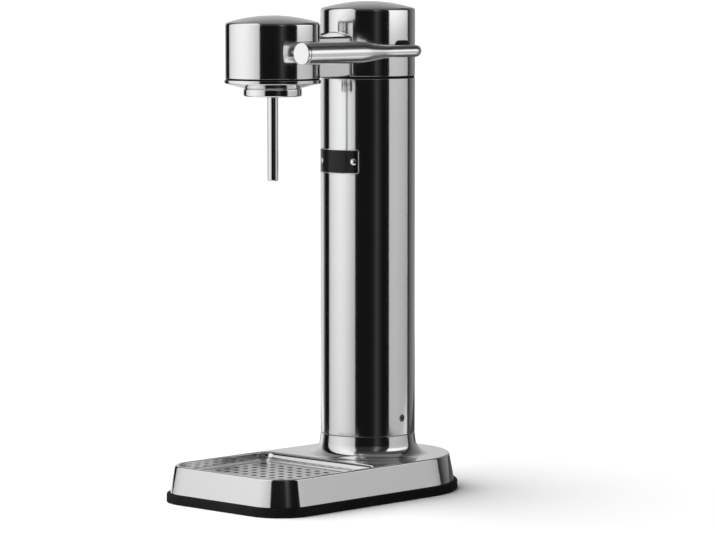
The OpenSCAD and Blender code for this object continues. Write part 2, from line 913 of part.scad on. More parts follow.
module chassis_screws() {
    color("#b9bcc0")
        turned(column_y, upper_screw_turns, upper_screw_r)
            translate([0, 0, chassis_top])
                cap_screw(screw_d - 2 * run, small_head_d, screw_head_h, chassis_t + upper_screw_grip);
}

module pivot_bracket() {
    outer = ear_in + ear_t;
    ear_top = pivot_z + ear_w / 2;
    color("#9a9ea3")
        translate([0, column_y, 0])
            difference() {
                union() {
                    translate([-outer, -ear_w / 2, chassis_top])
                        cube([2 * outer, ear_w + bracket_tail, bracket_t]);
                    for (x = [-outer, ear_in])
                        translate([x, -ear_w / 2, chassis_top])
                            cube([ear_t, ear_w, ear_top - chassis_top]);
                }
                cylinder(r = valve_neck_r + fit, h = overall_h);
                turned(0, valve_screw_turns, valve_screw_r)
                    cylinder(d = screw_d + 2 * fit, h = overall_h);
                translate([-outer - over, 0, pivot_z])
                    rotate([0, 90, 0])
                        cylinder(d = axle_bush_d, h = 2 * outer + 2 * over);
            }
}

// A plain bearing along +X
module bush(d_out, d_in, x0, x1) {
    translate([x0, column_y, pivot_z])
        rotate([0, 90, 0])
            difference() {
                cylinder(d = d_out, h = x1 - x0);
                translate([0, 0, -over])
                    cylinder(d = d_in, h = x1 - x0 + 2 * over);
            }
}

module axle_bushes() {
    bore = lever_tail_d + 2 * run;
    color("#e4e0d2")
        for (x = [-ear_in - ear_t, ear_in])
            bush(axle_bush_d - 2 * run, bore, x, x + ear_t);
}

// A sleeve in the cap's wall, with a curved plate outside that shows above the lever's tail
module lever_bush() {
    half = bush_w / 2;
    corner_z = bush_rise - bush_corner;
    outline = concat(
        arc(half - bush_corner, corner_z, bush_corner, 0, 90, arc_steps),
        arc(bush_corner - half, corner_z, bush_corner, 90, 180, arc_steps),
        [[-half, -bush_below], [half, -bush_below]]
    );
    color("#101010")
        translate([0, column_y, pivot_z])
            difference() {
                intersection() {
                    cylinder(r = column_r + bush_plate_t, h = column_d, center = true);
                    union() {
                        translate([column_r - lever_bush_depth, 0, 0])
                            rotate([0, 90, 0])
                                cylinder(d = lever_bush_d - 2 * fit, h = column_r);
                        difference() {
                            rotate([90, 0, 90])
                                linear_extrude(column_d)
                                    polygon(outline);
                            cylinder(r = column_r + bush_plate_gap, h = column_d, center = true);
                        }
                    }
                }
                rotate([0, 90, 0])
                    cylinder(d = lever_tail_d + 2 * run, h = column_d);
            }
}

module valve_block() {
    color("#c2a25a")
        translate([0, column_y, 0])
            difference() {
                union() {
                    translate([0, 0, block_bottom_z])
                        cylinder(r = valve_block_r, h = chassis_z - block_bottom_z);
                    translate([0, 0, chassis_z])
                        cylinder(r = valve_neck_r, h = neck_top - chassis_z);
                }
                translate([0, 0, block_bottom_z - over])
                    cylinder(r = thread_d / 2 + thread_gap, h = socket_end_z - block_bottom_z + over);
                translate([0, 0, socket_end_z - over])
                    cylinder(r = chamber_r, h = chamber_h + over);
                translate([0, 0, socket_end_z])
                    cylinder(r = guide_r, h = overall_h);
                translate([0, 0, pocket_z])
                    cylinder(r = pocket_r, h = overall_h);
                translate([hose_x, -hose_dy, socket_end_z + chamber_h / 2])
                    cylinder(r = hose_bore_r, h = overall_h);
                translate([0, 0, socket_end_z + chamber_h / 2])
                    rotate([0, 0, atan2(-hose_dy, hose_x)])
                        rotate([0, 90, 0])
                            cylinder(r = hose_bore_r * 0.6, h = norm([hose_x, hose_dy]));
                turned(0, valve_screw_turns, valve_screw_r)
                    translate([0, 0, chassis_z - valve_screw_grip - screw_hole_spare])
                        cylinder(d = screw_d, h = valve_screw_grip + screw_hole_spare + over);
            }
}

module valve_screws() {
    valve_screw_len = bracket_t + chassis_t + valve_screw_grip;
    color("#b9bcc0")
        turned(column_y, valve_screw_turns, valve_screw_r)
            translate([0, 0, chassis_top + bracket_t])
                cap_screw(screw_d - 2 * run, screw_head_d, screw_head_h, valve_screw_len);
}

module plunger() {
    head_z = cam_top_z - plunger_head_h;
    color("#cfd2d5")
        translate([0, column_y, 0])
            union() {
                translate([0, 0, plunger_low])
                    cylinder(r = plunger_r, h = head_z - plunger_low);
                translate([0, 0, head_z])
                    cylinder(r = plunger_head_r, h = plunger_head_h);
            }
}

module plunger_seal() {
    top = socket_end_z + chamber_h;
    color("#1a1a1a")
        translate([0, column_y, 0])
            tube(chamber_r - run, plunger_r + run, top - plunger_seal_t, top);
}

module plunger_spring() {
    color("#a9adb1")
        translate([0, column_y, 0])
            coil_spring((pocket_r + plunger_r) / 2, plunger_wire_r, pocket_z, cam_top_z - plunger_head_h,
                spring_turns);
}

module hose_path(r) {
    run_y = column_y - hose_dy - hose_bend;
    end_y = head_y + manifold_d / 2;
    translate([hose_x, column_y - hose_dy, chassis_z])
        cylinder(r = r, h = hose_z - hose_bend - chassis_z);
    translate([hose_x, run_y, hose_z - hose_bend])
        rotate([90, 0, 90])
            rotate_extrude(angle = 90)
                translate([hose_bend, 0])
                    circle(r = r);
    translate([hose_x, run_y, hose_z])
        rotate([90, 0, 0])
            cylinder(r = r, h = run_y - end_y);
}

module gas_hose() {
    color("#20242a")
        difference() {
            hose_path(hose_r);
            hose_path(hose_bore_r);
        }
}

module hose_ferrules() {
    color("#c7a85e")
        union() {
            translate([hose_x, column_y - hose_dy, 0])
                tube(ferrule_r, hose_r + run, chassis_z, chassis_z + ferrule_h);
            translate([hose_x, head_y + manifold_d / 2, hose_z])
                rotate([-90, 0, 0])
                    tube(ferrule_r, hose_r + run, 0, ferrule_h);
        }
}

module head_cover() {
    color("#d9dbdd")
        difference() {
            translate([0, head_y, 0])
                domed_can(head_r, head_top, can_z);
            bridge_passage();
        }
}

module head_gasket() {
    color("#121212")
        translate([0, head_y, 0])
            tube(head_r - seam_step, head_in_r - head_gasket_seat, seam_z, can_z);
}

module head_dish() {
    collar_wall = 2.3;
    hub_in = socket_r + fit;
    hub_out = hub_in + collar_wall;
    rim = head_r + dish_lip;
    bend_end = -78;
    bend_z = dish_top - dish_side;
    inner_z = bend_z - dish_bend + dish_t + dish_inner_bend;
    outside = concat(
        [[hub_in, ring_top], [ring_r, ring_top]],
        arc(rim - dish_bend, bend_z, dish_bend, bend_end, 0, arc_steps),
        [[rim, dish_top]]
    );
    inside = concat(
        [[rim - dish_wall, dish_top]],
        arc(rim - dish_wall - dish_inner_bend, inner_z, dish_inner_bend, 0, bend_end, arc_steps),
        [[hub_out, ring_top + dish_t], [hub_out, socket_flange_z], [hub_in, socket_flange_z]]
    );
    color("#d2d4d6")
        translate([0, head_y, 0])
            rotate_extrude()
                polygon(concat(outside, inside));
}

module bottle_socket() {
    color("#2b2d30")
        translate([0, head_y, 0])
            difference() {
                union() {
                    translate([0, 0, ring_z + ring_lip])
                        cylinder(r = socket_r, h = chassis_z - ring_z - ring_lip);
                    translate([0, 0, socket_flange_z])
                        cylinder(r = socket_flange_r, h = chassis_z - socket_flange_z);
                }
                translate([0, 0, ring_z - over])
                    cylinder(r = socket_bore_r, h = socket_roof_z - ring_z + over);
                for (i = [0 : 1])
                    translate([0, 0, ring_z + thread_groove_z + 2 * i * thread_groove_h])
                        cylinder(r = socket_bore_r + thread_groove_depth, h = thread_groove_h);
                translate([0, 0, ring_z])
                    cylinder(r = spigot_r + fit, h = overall_h);
                turned(0, socket_screw_turns, socket_screw_r)
                    translate([0, 0, chassis_z - socket_screw_grip - fit])
                        cylinder(d = screw_d, h = overall_h);
            }
}

module socket_screws() {
    color("#b9bcc0")
        turned(head_y, socket_screw_turns, socket_screw_r)
            translate([0, 0, chassis_top])
                cap_screw(screw_d - 2 * run, screw_head_d, screw_head_h, chassis_t + socket_screw_grip);
}

module bottle_ring() {
    color("#d9dbdd")
        translate([0, head_y, 0])
            union() {
                tube(ring_r, socket_r + fit, ring_z + ring_lip, ring_top);
                tube(ring_r, socket_bore_r, ring_z, ring_z + ring_lip);
            }
}

module bottle_seal() {
    color("#191919")
        translate([0, head_y, 0])
            tube(socket_bore_r - fit, spigot_r + seal_gap, socket_roof_z - seal_h, socket_roof_z);
}

module manifold() {
    color("#c2a25a")
        translate([0, head_y, 0])
            difference() {
                union() {
                    translate([-manifold_w / 2, -manifold_d / 2, chassis_top])
                        cube([manifold_w, manifold_d, manifold_h]);
                    translate([0, 0, manifold_low])
                        cylinder(r = spigot_r, h = chassis_top - manifold_low);
                }
                translate([0, 0, manifold_low - over])
                    cylinder(r = nozzle_r + run, h = hose_z + hose_bore_r - manifold_low + over);
                translate([hose_x, 0, hose_z])
                    rotate([-90, 0, 0])
                        cylinder(r = hose_bore_r, h = manifold_d);
                translate([hose_x, 0, hose_z])
                    rotate([0, 90, 0])
                        cylinder(r = hose_bore_r * 0.8, h = relief_x - hose_x);
                translate([relief_x, 0, hose_z])
                    cylinder(r = hose_bore_r, h = overall_h);
                for (p = manifold_screws_at)
                    translate([p[0], p[1], 0])
                        cylinder(d = screw_d + 2 * fit, h = overall_h);
            }
}

module manifold_screws() {
    color("#b9bcc0")
        for (p = manifold_screws_at)
            translate([p[0], head_y + p[1], manifold_top])
                cap_screw(screw_d, screw_head_d, screw_head_h, manifold_h + chassis_t);
}

module nozzle_tube() {
    color("#d9dbdd")
        translate([0, head_y, 0])
            difference() {
                union() {
                    translate([0, 0, nozzle_z])
                        cylinder(r1 = nozzle_r - nozzle_edge, r2 = nozzle_r, h = nozzle_edge);
                    translate([0, 0, nozzle_z + nozzle_edge])
                        cylinder(r = nozzle_r, h = nozzle_top - nozzle_z - nozzle_edge);
                }
                translate([0, 0, nozzle_z - over])
                    cylinder(d = nozzle_bore, h = overall_h);
            }
}

module nozzle_nut() {
    color("#c9cbcd")
        translate([0, head_y, manifold_low - nozzle_nut_h])
            difference() {
                cylinder(r = spigot_r - fit, h = nozzle_nut_h, $fn = 6);
                translate([0, 0, -over])
                    cylinder(r = nozzle_r + run, h = nozzle_nut_h + 2 * over);
            }
}

module nozzle_tip() {
    color("#3a3c3f")
        translate([0, head_y, 0])
            tube(nozzle_bore / 2 - run, tip_hole_r, nozzle_z + tip_set_in, nozzle_z + tip_len);
}

module relief_body() {
    color("#cfd2d5")
        translate([relief_x, head_y, manifold_top])
            difference() {
                cylinder(r = relief_r, h = relief_h);
                translate([0, 0, -over])
                    cylinder(r = relief_bore_r, h = relief_h - relief_roof + over);
                cylinder(r = relief_vent_r, h = relief_h + over);
            }
}

module relief_poppet() {
    color("#d8c48a")
        translate([relief_x, head_y, manifold_top])
            union() {
                translate([0, 0, run])
                    cylinder(r = relief_bore_r - 3 * run, h = poppet_h - run);
                translate([0, 0, poppet_h])
                    cylinder(r = poppet_stem_r, h = poppet_h - relief_lift);
            }
}

module relief_spring() {
    color("#a9adb1")
        translate([relief_x, head_y, manifold_top])
            coil_spring(relief_coil_r, relief_wire_r, poppet_h, relief_h - relief_roof, spring_turns);
}

// Half outline of grip, taper and tail, with the axle's middle at zero and length along +X.
// The taper is two equal arcs, one hollow and one round, that meet half-way.
module lever_outline() {
    tail_end = lever_len - lever_grip - lever_taper;
    half = lever_taper / 2;
    fall = (lever_d - lever_tail_d) / 4;
    sweep_r = (half * half + fall * fall) / (2 * fall);
    sweep = asin(half / sweep_r);
    polygon(concat(
        [[0, lever_bend], [axle_r, lever_bend]],
        [for (p = arc(0, 0, sweep_r, 180, 180 - sweep, arc_steps))
            [axle_r + sweep_r + p[0], tail_end + p[1]]],
        [for (p = arc(0, 0, sweep_r, sweep, 0, arc_steps))
            if (p[1] < half - 0.001) [lever_d / 2 - sweep_r + p[0], tail_end + lever_taper - p[1]]],
        [[lever_d / 2, lever_len - lever_disc_t], [0, lever_len - lever_disc_t]]
    ));
}

module lever() {
    color("#d9dbdd")
        translate([0, column_y, pivot_z])
            union() {
                translate([lever_side, 0, 0])
                    rotate([90, 0, 0])
                        rotate_extrude()
                            lever_outline();
                translate([lever_side - lever_bend, -lever_bend, 0])
                    rotate_extrude(angle = 90)
                        translate([lever_bend, 0])
                            circle(r = axle_r);
                translate([axle_left, 0, 0])
                    rotate([0, 90, 0])
                        cylinder(r = axle_r, h = lever_side - lever_bend - axle_left);
            }
}

module lever_disc() {
    groove = 0.35;
    chamfer = 0.8;
    r = lever_d / 2;
    color("#ececee")
        translate([lever_side, column_y - lever_len + lever_disc_t, pivot_z])
            rotate([90, 0, 0])
                rotate_extrude()
                    polygon([[0, 0], [r - groove, 0], [r - groove, groove], [r, groove],
                        [r, lever_disc_t - chamfer], [r - chamfer, lever_disc_t], [0, lever_disc_t]]);
}

module lever_cam() {
    color("#8f9398")
        translate([-cam_w / 2, column_y, pivot_z])
            rotate([0, 90, 0])
                difference() {
                    union() {
                        cylinder(r = hub_r, h = cam_w);
                        translate([0, -lobe_off, 0])
                            cylinder(r = lobe_r, h = cam_w);
                        translate([lobe_flat - lobe_r, -lobe_off, 0])
                            cube([2 * (lobe_r - lobe_flat), lobe_off, cam_w]);
                    }
                    translate([0, 0, -over])
                        cylinder(r = axle_r + run / 2, h = cam_w + 2 * over);
                    translate([0, -axle_r, cam_w / 2])
                        rotate([90, 0, 0])
                            cylinder(d = screw_d + fit, h = lobe_off + lobe_r);
                }
}

module cam_screw() {
    socket_depth = 2;
    color("#3f4144")
        translate([0, column_y - axle_r - run, pivot_z])
            rotate([90, 0, 0])
                difference() {
                    cylinder(d = screw_d, h = cam_screw_len);
                    translate([0, 0, cam_screw_len - socket_depth])
                        cylinder(d = screw_d * 0.5, h = cam_screw_len, $fn = 6);
                }
}

module axle_clip() {
    clip_x = -ear_in - ear_t - clip_gap;
    color("#6b6e72")
        bush(clip_d, lever_tail_d + 2 * fit, clip_x - clip_t, clip_x);
}

module gas_cylinder() {
    inner_r = cylinder_r - cylinder_wall;
    edge = 6;
    inner_edge = edge - cylinder_wall / 2;
    inner_z = cylinder_lift + cylinder_wall;
    body_top = cylinder_top - cylinder_neck_h - shoulder_h;
    neck_z = cylinder_top - cylinder_neck_h;
    shoulder = [for (a = [0 : 10 : 80])
        [cylinder_neck_r + (cylinder_r - cylinder_neck_r) * cos(a), body_top + shoulder_h * sin(a)]];
    hollow_h = shoulder_h - cylinder_wall;
    hollow = [for (a = [80 : -10 : 0])
        [valve_shank_r + (inner_r - valve_shank_r) * cos(a), body_top + hollow_h * sin(a)]];
    color("#5d6f86")
        translate([0, column_y, 0])
            rotate_extrude()
                polygon(concat(
                    [[0, cylinder_lift]],
                    arc(cylinder_r - edge, cylinder_lift + edge, edge, 270, 360, arc_steps),
                    shoulder,
                    [[cylinder_neck_r, neck_z], [cylinder_neck_r, cylinder_top]],
                    [[valve_shank_r + fit, cylinder_top], [valve_shank_r + fit, neck_z]],
                    hollow,
                    arc(inner_r - inner_edge, inner_z + inner_edge, inner_edge, 360, 270, arc_steps),
                    [[0, inner_z]]
                ));
}

module cylinder_valve() {
    flange_top = cylinder_top + valve_flange_h;
    pin_guide_top = pin_top - pin_mouth_depth;
    color("#c9a94f")
        translate([0, column_y, 0])
            difference() {
                union() {
                    translate([0, 0, cylinder_top - valve_neck_len])
                        cylinder(r = valve_shank_r, h = valve_neck_len);
                    translate([0, 0, cylinder_top])
                        cylinder(r = valve_flange_r, h = valve_flange_h, $fn = 6);
                    translate([0, 0, flange_top])
                        cylinder(r = thread_d / 2, h = valve_top_z - flange_top);
                }
                translate([0, 0, pin_top - pin_len - pin_spare])
                    cylinder(r = pin_bore_r, h = overall_h);
                translate([0, 0, pin_guide_top])
                    cylinder(r = pin_mouth_r, h = overall_h);
            }
}

module cylinder_washer() {
    color("#222222")
        translate([0, column_y, 0])
            tube(thread_d / 2 - washer_inset, chamber_r + washer_inset / 2,
                valve_top_z, valve_top_z + washer_t);
}

module valve_pin() {
    color("#d9d2b8")
        translate([0, column_y, pin_top - pin_len])
            cylinder(r = pin_r, h = pin_len);
}

rubber_foot();
base_plate();
base_screws();
base_shell();
drip_tray();
tray_feet();
column_spigot();
spigot_screws();
cylinder_guide();
column_tube();
fixing_screw();
badge_plate();
badge_inlay();
badge_rivets();
upper_ring();
cap_gasket();
column_cap();
bridge_cover();
chassis();
chassis_screws();
pivot_bracket();
axle_bushes();
lever_bush();
valve_block();
valve_screws();
plunger();
plunger_seal();
plunger_spring();
gas_hose();
hose_ferrules();
head_cover();
head_gasket();
head_dish();
bottle_socket();
socket_screws();
bottle_ring();
bottle_seal();
manifold();
manifold_screws();
nozzle_tube();
nozzle_nut();
nozzle_tip();
relief_body();
relief_poppet();
relief_spring();
lever();
lever_disc();
lever_cam();
cam_screw();
axle_clip();
gas_cylinder();
cylinder_valve();
cylinder_washer();
valve_pin();
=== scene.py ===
"""Looks of a counter-top sparkling water maker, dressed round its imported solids.

Meshes are made in millimetres and scaled to metres as they become pieces.
"""

import json
import math

import bmesh
import bpy
from mathutils import Matrix, Vector


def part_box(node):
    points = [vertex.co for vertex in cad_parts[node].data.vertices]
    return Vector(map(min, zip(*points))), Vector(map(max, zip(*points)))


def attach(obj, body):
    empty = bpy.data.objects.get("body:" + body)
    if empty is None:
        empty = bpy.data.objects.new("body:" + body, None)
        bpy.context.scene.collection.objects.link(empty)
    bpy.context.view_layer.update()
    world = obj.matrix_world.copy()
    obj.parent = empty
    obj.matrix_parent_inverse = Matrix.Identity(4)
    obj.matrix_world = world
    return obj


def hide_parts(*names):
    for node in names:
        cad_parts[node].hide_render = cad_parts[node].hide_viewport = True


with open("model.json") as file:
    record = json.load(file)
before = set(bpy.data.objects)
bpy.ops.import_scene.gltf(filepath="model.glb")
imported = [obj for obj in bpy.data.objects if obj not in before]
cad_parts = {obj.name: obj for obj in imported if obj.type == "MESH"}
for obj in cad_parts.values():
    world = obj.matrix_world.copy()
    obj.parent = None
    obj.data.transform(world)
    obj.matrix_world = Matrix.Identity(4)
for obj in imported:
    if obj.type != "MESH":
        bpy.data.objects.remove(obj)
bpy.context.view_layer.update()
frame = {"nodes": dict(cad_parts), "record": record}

MM = 0.001

# The photograph's camera, level distances from the column's axis
CAMERA_TURN = math.radians(43.62)
CAMERA_YAW = math.radians(0.16)
CAMERA_PITCH = math.radians(4.952)
CAMERA_REACH = 2951.8 * MM
CAMERA_HEIGHT = 441.7 * MM
FOCAL_PX = 3493.8
PHOTO_W_PX = 716
SENSOR_MM = 36

# Steps round a turned piece, and round its small curves
TURN_STEPS = 240
SMALL_TURN_STEPS = 96
EDGE_STEPS = 6
DOME_STEPS = 28


def box_mm(node):
    """Lowest and highest corner of a solid, in millimetres."""
    low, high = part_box(node)
    return low / MM, high / MM


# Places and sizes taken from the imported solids
foot_low, foot_high = box_mm("rubber_foot")
shell_low, shell_high = box_mm("base_shell")
tube_low, tube_high = box_mm("column_tube")
cap_low, cap_high = box_mm("column_cap")
head_low, head_high = box_mm("head_cover")
bridge_low, bridge_high = box_mm("bridge_cover")
dish_low, dish_high = box_mm("head_dish")
ring_low, ring_high = box_mm("bottle_ring")
nozzle_low, nozzle_high = box_mm("nozzle_tube")
lever_low, lever_high = box_mm("lever")
disc_low, disc_high = box_mm("lever_disc")
tray_low, tray_high = box_mm("drip_tray")
badge_low, badge_high = box_mm("badge_plate")
inlay_low, _ = box_mm("badge_inlay")
screw_low, screw_high = box_mm("fixing_screw")
bush_low, bush_high = box_mm("lever_bush")

HALF_W = foot_high.x
FRONT_Y = foot_low.y
FOOT_TOP = foot_high.z
COLUMN_Y = (tube_low.y + tube_high.y) / 2
COLUMN_R = tube_high.x
HEAD_Y = (head_low.y + head_high.y) / 2
HEAD_R = head_high.x
COLUMN_AXIS = Vector((0, COLUMN_Y, 0))
HEAD_AXIS = Vector((0, HEAD_Y, 0))

# Base
FRONT_R = 33
DECK_Z = 30.5
SHELL_INSET = 3
SHELL_TOP_INSET = 6.9
DECK_EDGE = 1.6
RECESS_INSET = 10.5
RECESS_BACK_Y = tray_high.y + 0.6
RECESS_BACK_R = 10
RECESS_FLOOR_Z = 14
RIM_EDGE = 1.1
BACK_EDGE = 5.5
COLLAR_BLEND = 12
COLLAR_LEAN = 6
COLLAR_EDGE = 0.2
SHELL_T = 1.2

# Drip tray
TRAY_PLAY = 0.6
TRAY_LIP = 1.6
TRAY_PLATE_T = 1.2
TRAY_BEND = 1.4
HOLE_R = 2.5
HOLE_PITCH = 10.6
HOLE_MARGIN = 9
HOLE_EDGE = 0.08
HOLE_STEPS = 20

# Column, cap and head
TUBE_WALL = 1.2
CAN_WALL = 1.5
TUBE_EDGE = 0.45
COLLAR_GAP = 0.6
DOME_RISE = 6.2
DOME_EDGE = 2.8
BRIDGE_EDGE = 1.5
BRIDGE_CROWN = 4
BRIDGE_FILLET = 1

# Lever
LEVER_R = lever_high.z - (lever_low.z + lever_high.z) / 2
LEVER_TAIL_R = 5
LEVER_GRIP = 63.5
LEVER_TAPER = 42
LEVER_BEND = 9
SLEEVE_R = 5.6
PIVOT_Z = (lever_low.z + lever_high.z) / 2
LEVER_X = lever_high.x - LEVER_R


# Mesh helpers

def arc(x, z, r, start, end, steps):
    """Points of an arc about (x, z), angles in degrees."""
    turns = [math.radians(start + (end - start) * i / steps) for i in range(steps + 1)]
    return [(x + r * math.cos(a), z + r * math.sin(a)) for a in turns]


def skin(bm, loops, ring=True):
    """Joins neighbouring loops of equal length with quads; a ring also joins the last to the first."""
    rows = [[bm.verts.new(p) for p in loop] for loop in loops]
    pairs = list(zip(rows, rows[1:]))
    if ring:
        pairs.append((rows[-1], rows[0]))
    for one, other in pairs:
        for i in range(len(one)):
            j = (i + 1) % len(one)
            bm.faces.new((one[i], one[j], other[j], other[i]))
    return rows


def turned(bm, profile, base, along=(0, 0, 1), ring=True, steps=TURN_STEPS):
    """Skins an outline of (radius, height) turned about the line through base."""
    tilt = Vector((0, 0, 1)).rotation_difference(Vector(along)).to_matrix()
    turns = [2 * math.pi * i / steps for i in range(steps)]
    loops = [[Vector(base) + tilt @ Vector((r * math.cos(a), r * math.sin(a), h)) for a in turns]
             for r, h in profile]
    return skin(bm, loops, ring)


def close_loop(bm, row):
    """Caps one loop of vertices with a flat face."""
    bm.faces.new(row)


def fill_between(bm, rows):
    """Fills the flat area between an outer loop and the loops inside it."""
    edges = set()
    for row in rows:
        for i, vert in enumerate(row):
            other = row[(i + 1) % len(row)]
            edges.add(bm.edges.get((vert, other)) or bm.edges.new((vert, other)))
    bmesh.ops.triangle_fill(bm, use_beauty=True, use_dissolve=False, edges=list(edges))


def make_piece(name, bm, material, body, nodes, sharp=35, flats=False):
    """Turns a millimetre mesh into a smooth-shaded piece that stands for its solids."""
    bmesh.ops.remove_doubles(bm, verts=bm.verts, dist=0.0005)
    bmesh.ops.recalc_face_normals(bm, faces=bm.faces)
    bmesh.ops.scale(bm, vec=(MM, MM, MM), verts=bm.verts)
    mesh = bpy.data.meshes.new(name)
    bm.to_mesh(mesh)
    bm.free()
    mesh.polygons.foreach_set("use_smooth", [True] * len(mesh.polygons))
    mesh.set_sharp_from_angle(angle=math.radians(sharp))
    mesh.materials.append(material)
    piece = bpy.data.objects.new(name, mesh)
    bpy.context.scene.collection.objects.link(piece)
    if flats:
        weights = piece.modifiers.new("flat_faces_first", "WEIGHTED_NORMAL")
        weights.keep_sharp = True
    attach(piece, body)
    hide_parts(*nodes)
    return piece


# Materials

def new_material(name):
    """A material with its shader, ready for textures."""
    material = bpy.data.materials.new(name)
    material.use_nodes = True
    return material, material.node_tree, material.node_tree.nodes["Principled BSDF"]


def noise_value(tree, scale, low, high, stretch=(1, 1, 1), detail=3):
    """A noise between two values, in the object's own metres."""
    nodes, links = tree.nodes, tree.links
    place = nodes.new("ShaderNodeTexCoord")
    mapping = nodes.new("ShaderNodeMapping")
    mapping.inputs["Scale"].default_value = stretch
    texture = nodes.new("ShaderNodeTexNoise")
    texture.inputs["Scale"].default_value = scale
    texture.inputs["Detail"].default_value = detail
    spread = nodes.new("ShaderNodeMapRange")
    spread.inputs["From Min"].default_value = 0.3
    spread.inputs["From Max"].default_value = 0.7
    spread.inputs["To Min"].default_value = low
    spread.inputs["To Max"].default_value = high
    links.new(place.outputs["Object"], mapping.inputs["Vector"])
    links.new(mapping.outputs["Vector"], texture.inputs["Vector"])
    links.new(texture.outputs["Fac"], spread.inputs["Value"])
    return spread.outputs["Result"]


def noise_colour(tree, scale, dark, light, stretch=(1, 1, 1)):
    """A noise between two colours."""
    nodes, links = tree.nodes, tree.links
    mix = nodes.new("ShaderNodeMix")
    mix.data_type = "RGBA"
    mix.inputs["A"].default_value = (*dark, 1)
    mix.inputs["B"].default_value = (*light, 1)
    links.new(noise_value(tree, scale, 0, 1, stretch), mix.inputs["Factor"])
    return mix.outputs["Result"]


def add_bump(tree, shader, scale, depth, stretch=(1, 1, 1), detail=4):
    """A fine relief, its depth in metres."""
    nodes, links = tree.nodes, tree.links
    bump = nodes.new("ShaderNodeBump")
    bump.inputs["Distance"].default_value = depth
    links.new(noise_value(tree, scale, 0, 1, stretch, detail), bump.inputs["Height"])
    links.new(bump.outputs["Normal"], shader.inputs["Normal"])


def metal(name, dark, light, rough, grain=(1, 1, 1), grain_scale=900, relief=0.0, bare=1.0):
    """Bare metal: a slight drift of tone, and gloss broken up by fine polishing marks."""
    material, tree, shader = new_material(name)
    shader.inputs["Metallic"].default_value = bare
    tree.links.new(noise_colour(tree, 30, dark, light), shader.inputs["Base Color"])
    tree.links.new(noise_value(tree, grain_scale, *rough, grain), shader.inputs["Roughness"])
    if relief:
        add_bump(tree, shader, grain_scale, relief, grain)
    return material


def moulded(name, dark, light, rough, grain_scale, relief, specular=0.5):
    """Rubber or plastic with a fine moulded skin."""
    material, tree, shader = new_material(name)
    shader.inputs["Specular IOR Level"].default_value = specular
    tree.links.new(noise_colour(tree, 60, dark, light), shader.inputs["Base Color"])
    tree.links.new(noise_value(tree, 180, *rough), shader.inputs["Roughness"])
    add_bump(tree, shader, grain_scale, relief)
    return material


POLISH = metal("polished_steel", (0.875, 0.878, 0.885), (0.9, 0.903, 0.91), (0.075, 0.12))
# Lever's steel: a lighter, rougher copy of the polished steel, painted brighter so the lever reflects lighter
# than the column.
BRIGHTER_LEVER_STEEL = metal("lever_steel_painted_brighter", (0.94, 0.943, 0.95), (0.96, 0.963, 0.97), (0.19, 0.23))
TRAY_STEEL = metal("tray_steel", (0.9, 0.903, 0.91), (0.93, 0.933, 0.94), (0.26, 0.34),
                   (1, 0.06, 1), 1400, 2e-6)
RUBBER = moulded("black_rubber", (0.005, 0.005, 0.0052), (0.008, 0.008, 0.0083), (0.6, 0.72),
                 2500, 2e-5, 0.12)
PLASTIC = moulded("black_plastic", (0.005, 0.005, 0.0054), (0.008, 0.008, 0.0085), (0.4, 0.52),
                  1800, 1e-5, 0.15)
ENAMEL = moulded("badge_enamel", (0.005, 0.005, 0.0055), (0.008, 0.008, 0.0085), (0.12, 0.2), 700, 4e-6, 0.25)
# Near black steel for the drain holes' chamfers and walls: painted shade inside the holes.
HOLE_SHADE_STEEL = metal("drain_hole_painted_shade", (0.06, 0.06, 0.062), (0.09, 0.09, 0.093), (0.4, 0.5), (1, 1, 0.2), 900, 4e-6)
PLATED = metal("plated_steel", (0.5, 0.505, 0.515), (0.6, 0.605, 0.61), (0.3, 0.45), (1, 1, 0.2), 700, 6e-6)
BLACK_STEEL = metal("black_steel", (0.27, 0.27, 0.275), (0.33, 0.33, 0.336), (0.28, 0.4),
                    (1, 1, 1), 900, 4e-6)
CAST = metal("cast_aluminium", (0.46, 0.465, 0.475), (0.56, 0.565, 0.57), (0.42, 0.58), (1, 1, 1), 500, 3e-5)
BRASS = metal("turned_brass", (0.62, 0.47, 0.2), (0.72, 0.56, 0.27), (0.2, 0.34), (1, 1, 0.1), 800, 5e-6)
NYLON = moulded("white_nylon", (0.68, 0.66, 0.59), (0.76, 0.74, 0.67), (0.4, 0.55), 1500, 1e-5)
PAINT = moulded("cylinder_paint", (0.27, 0.31, 0.37), (0.31, 0.35, 0.41), (0.26, 0.36), 600, 1.2e-5)

SLOT_MATERIALS = {
    "polished_steel": POLISH,
    "tray_steel": TRAY_STEEL,
    "black_rubber": RUBBER,
    "black_plastic": PLASTIC,
    "badge_black": ENAMEL,
    "plated_steel": PLATED,
    "black_steel": BLACK_STEEL,
    "cast_aluminium": CAST,
    "brass": BRASS,
    "white_plastic": NYLON,
    "cylinder_paint": PAINT,
}


def dress_solids():
    """Gives every carried-over solid the finish of its slot."""
    for part in frame["record"]["subparts"]:
        mesh = frame["nodes"][part["node"]].data
        mesh.materials.clear()
        mesh.materials.append(SLOT_MATERIALS[part["material_slot"]])


# Outlines of the base, from above

def plan_loop(inset, z):
    """The base's outline: a half circle behind, straight sides and two round front corners."""
    back_r = HALF_W - inset
    corner_r = FRONT_R - inset
    corner_x = HALF_W - FRONT_R
    corner_y = FRONT_Y + FRONT_R
    points = arc(0, COLUMN_Y, back_r, 0, 180, 96)
    points += [(-back_r, COLUMN_Y + (corner_y - COLUMN_Y) * i / 12) for i in range(1, 12)]
    points += arc(-corner_x, corner_y, corner_r, 180, 270, 32)
    points += [(corner_x * (i / 6 - 1), FRONT_Y + inset) for i in range(1, 12)]
    points += arc(corner_x, corner_y, corner_r, 270, 360, 32)
    points += [(back_r, corner_y + (COLUMN_Y - corner_y) * i / 12) for i in range(1, 12)]
    return [Vector((x, y, z)) for x, y in points]


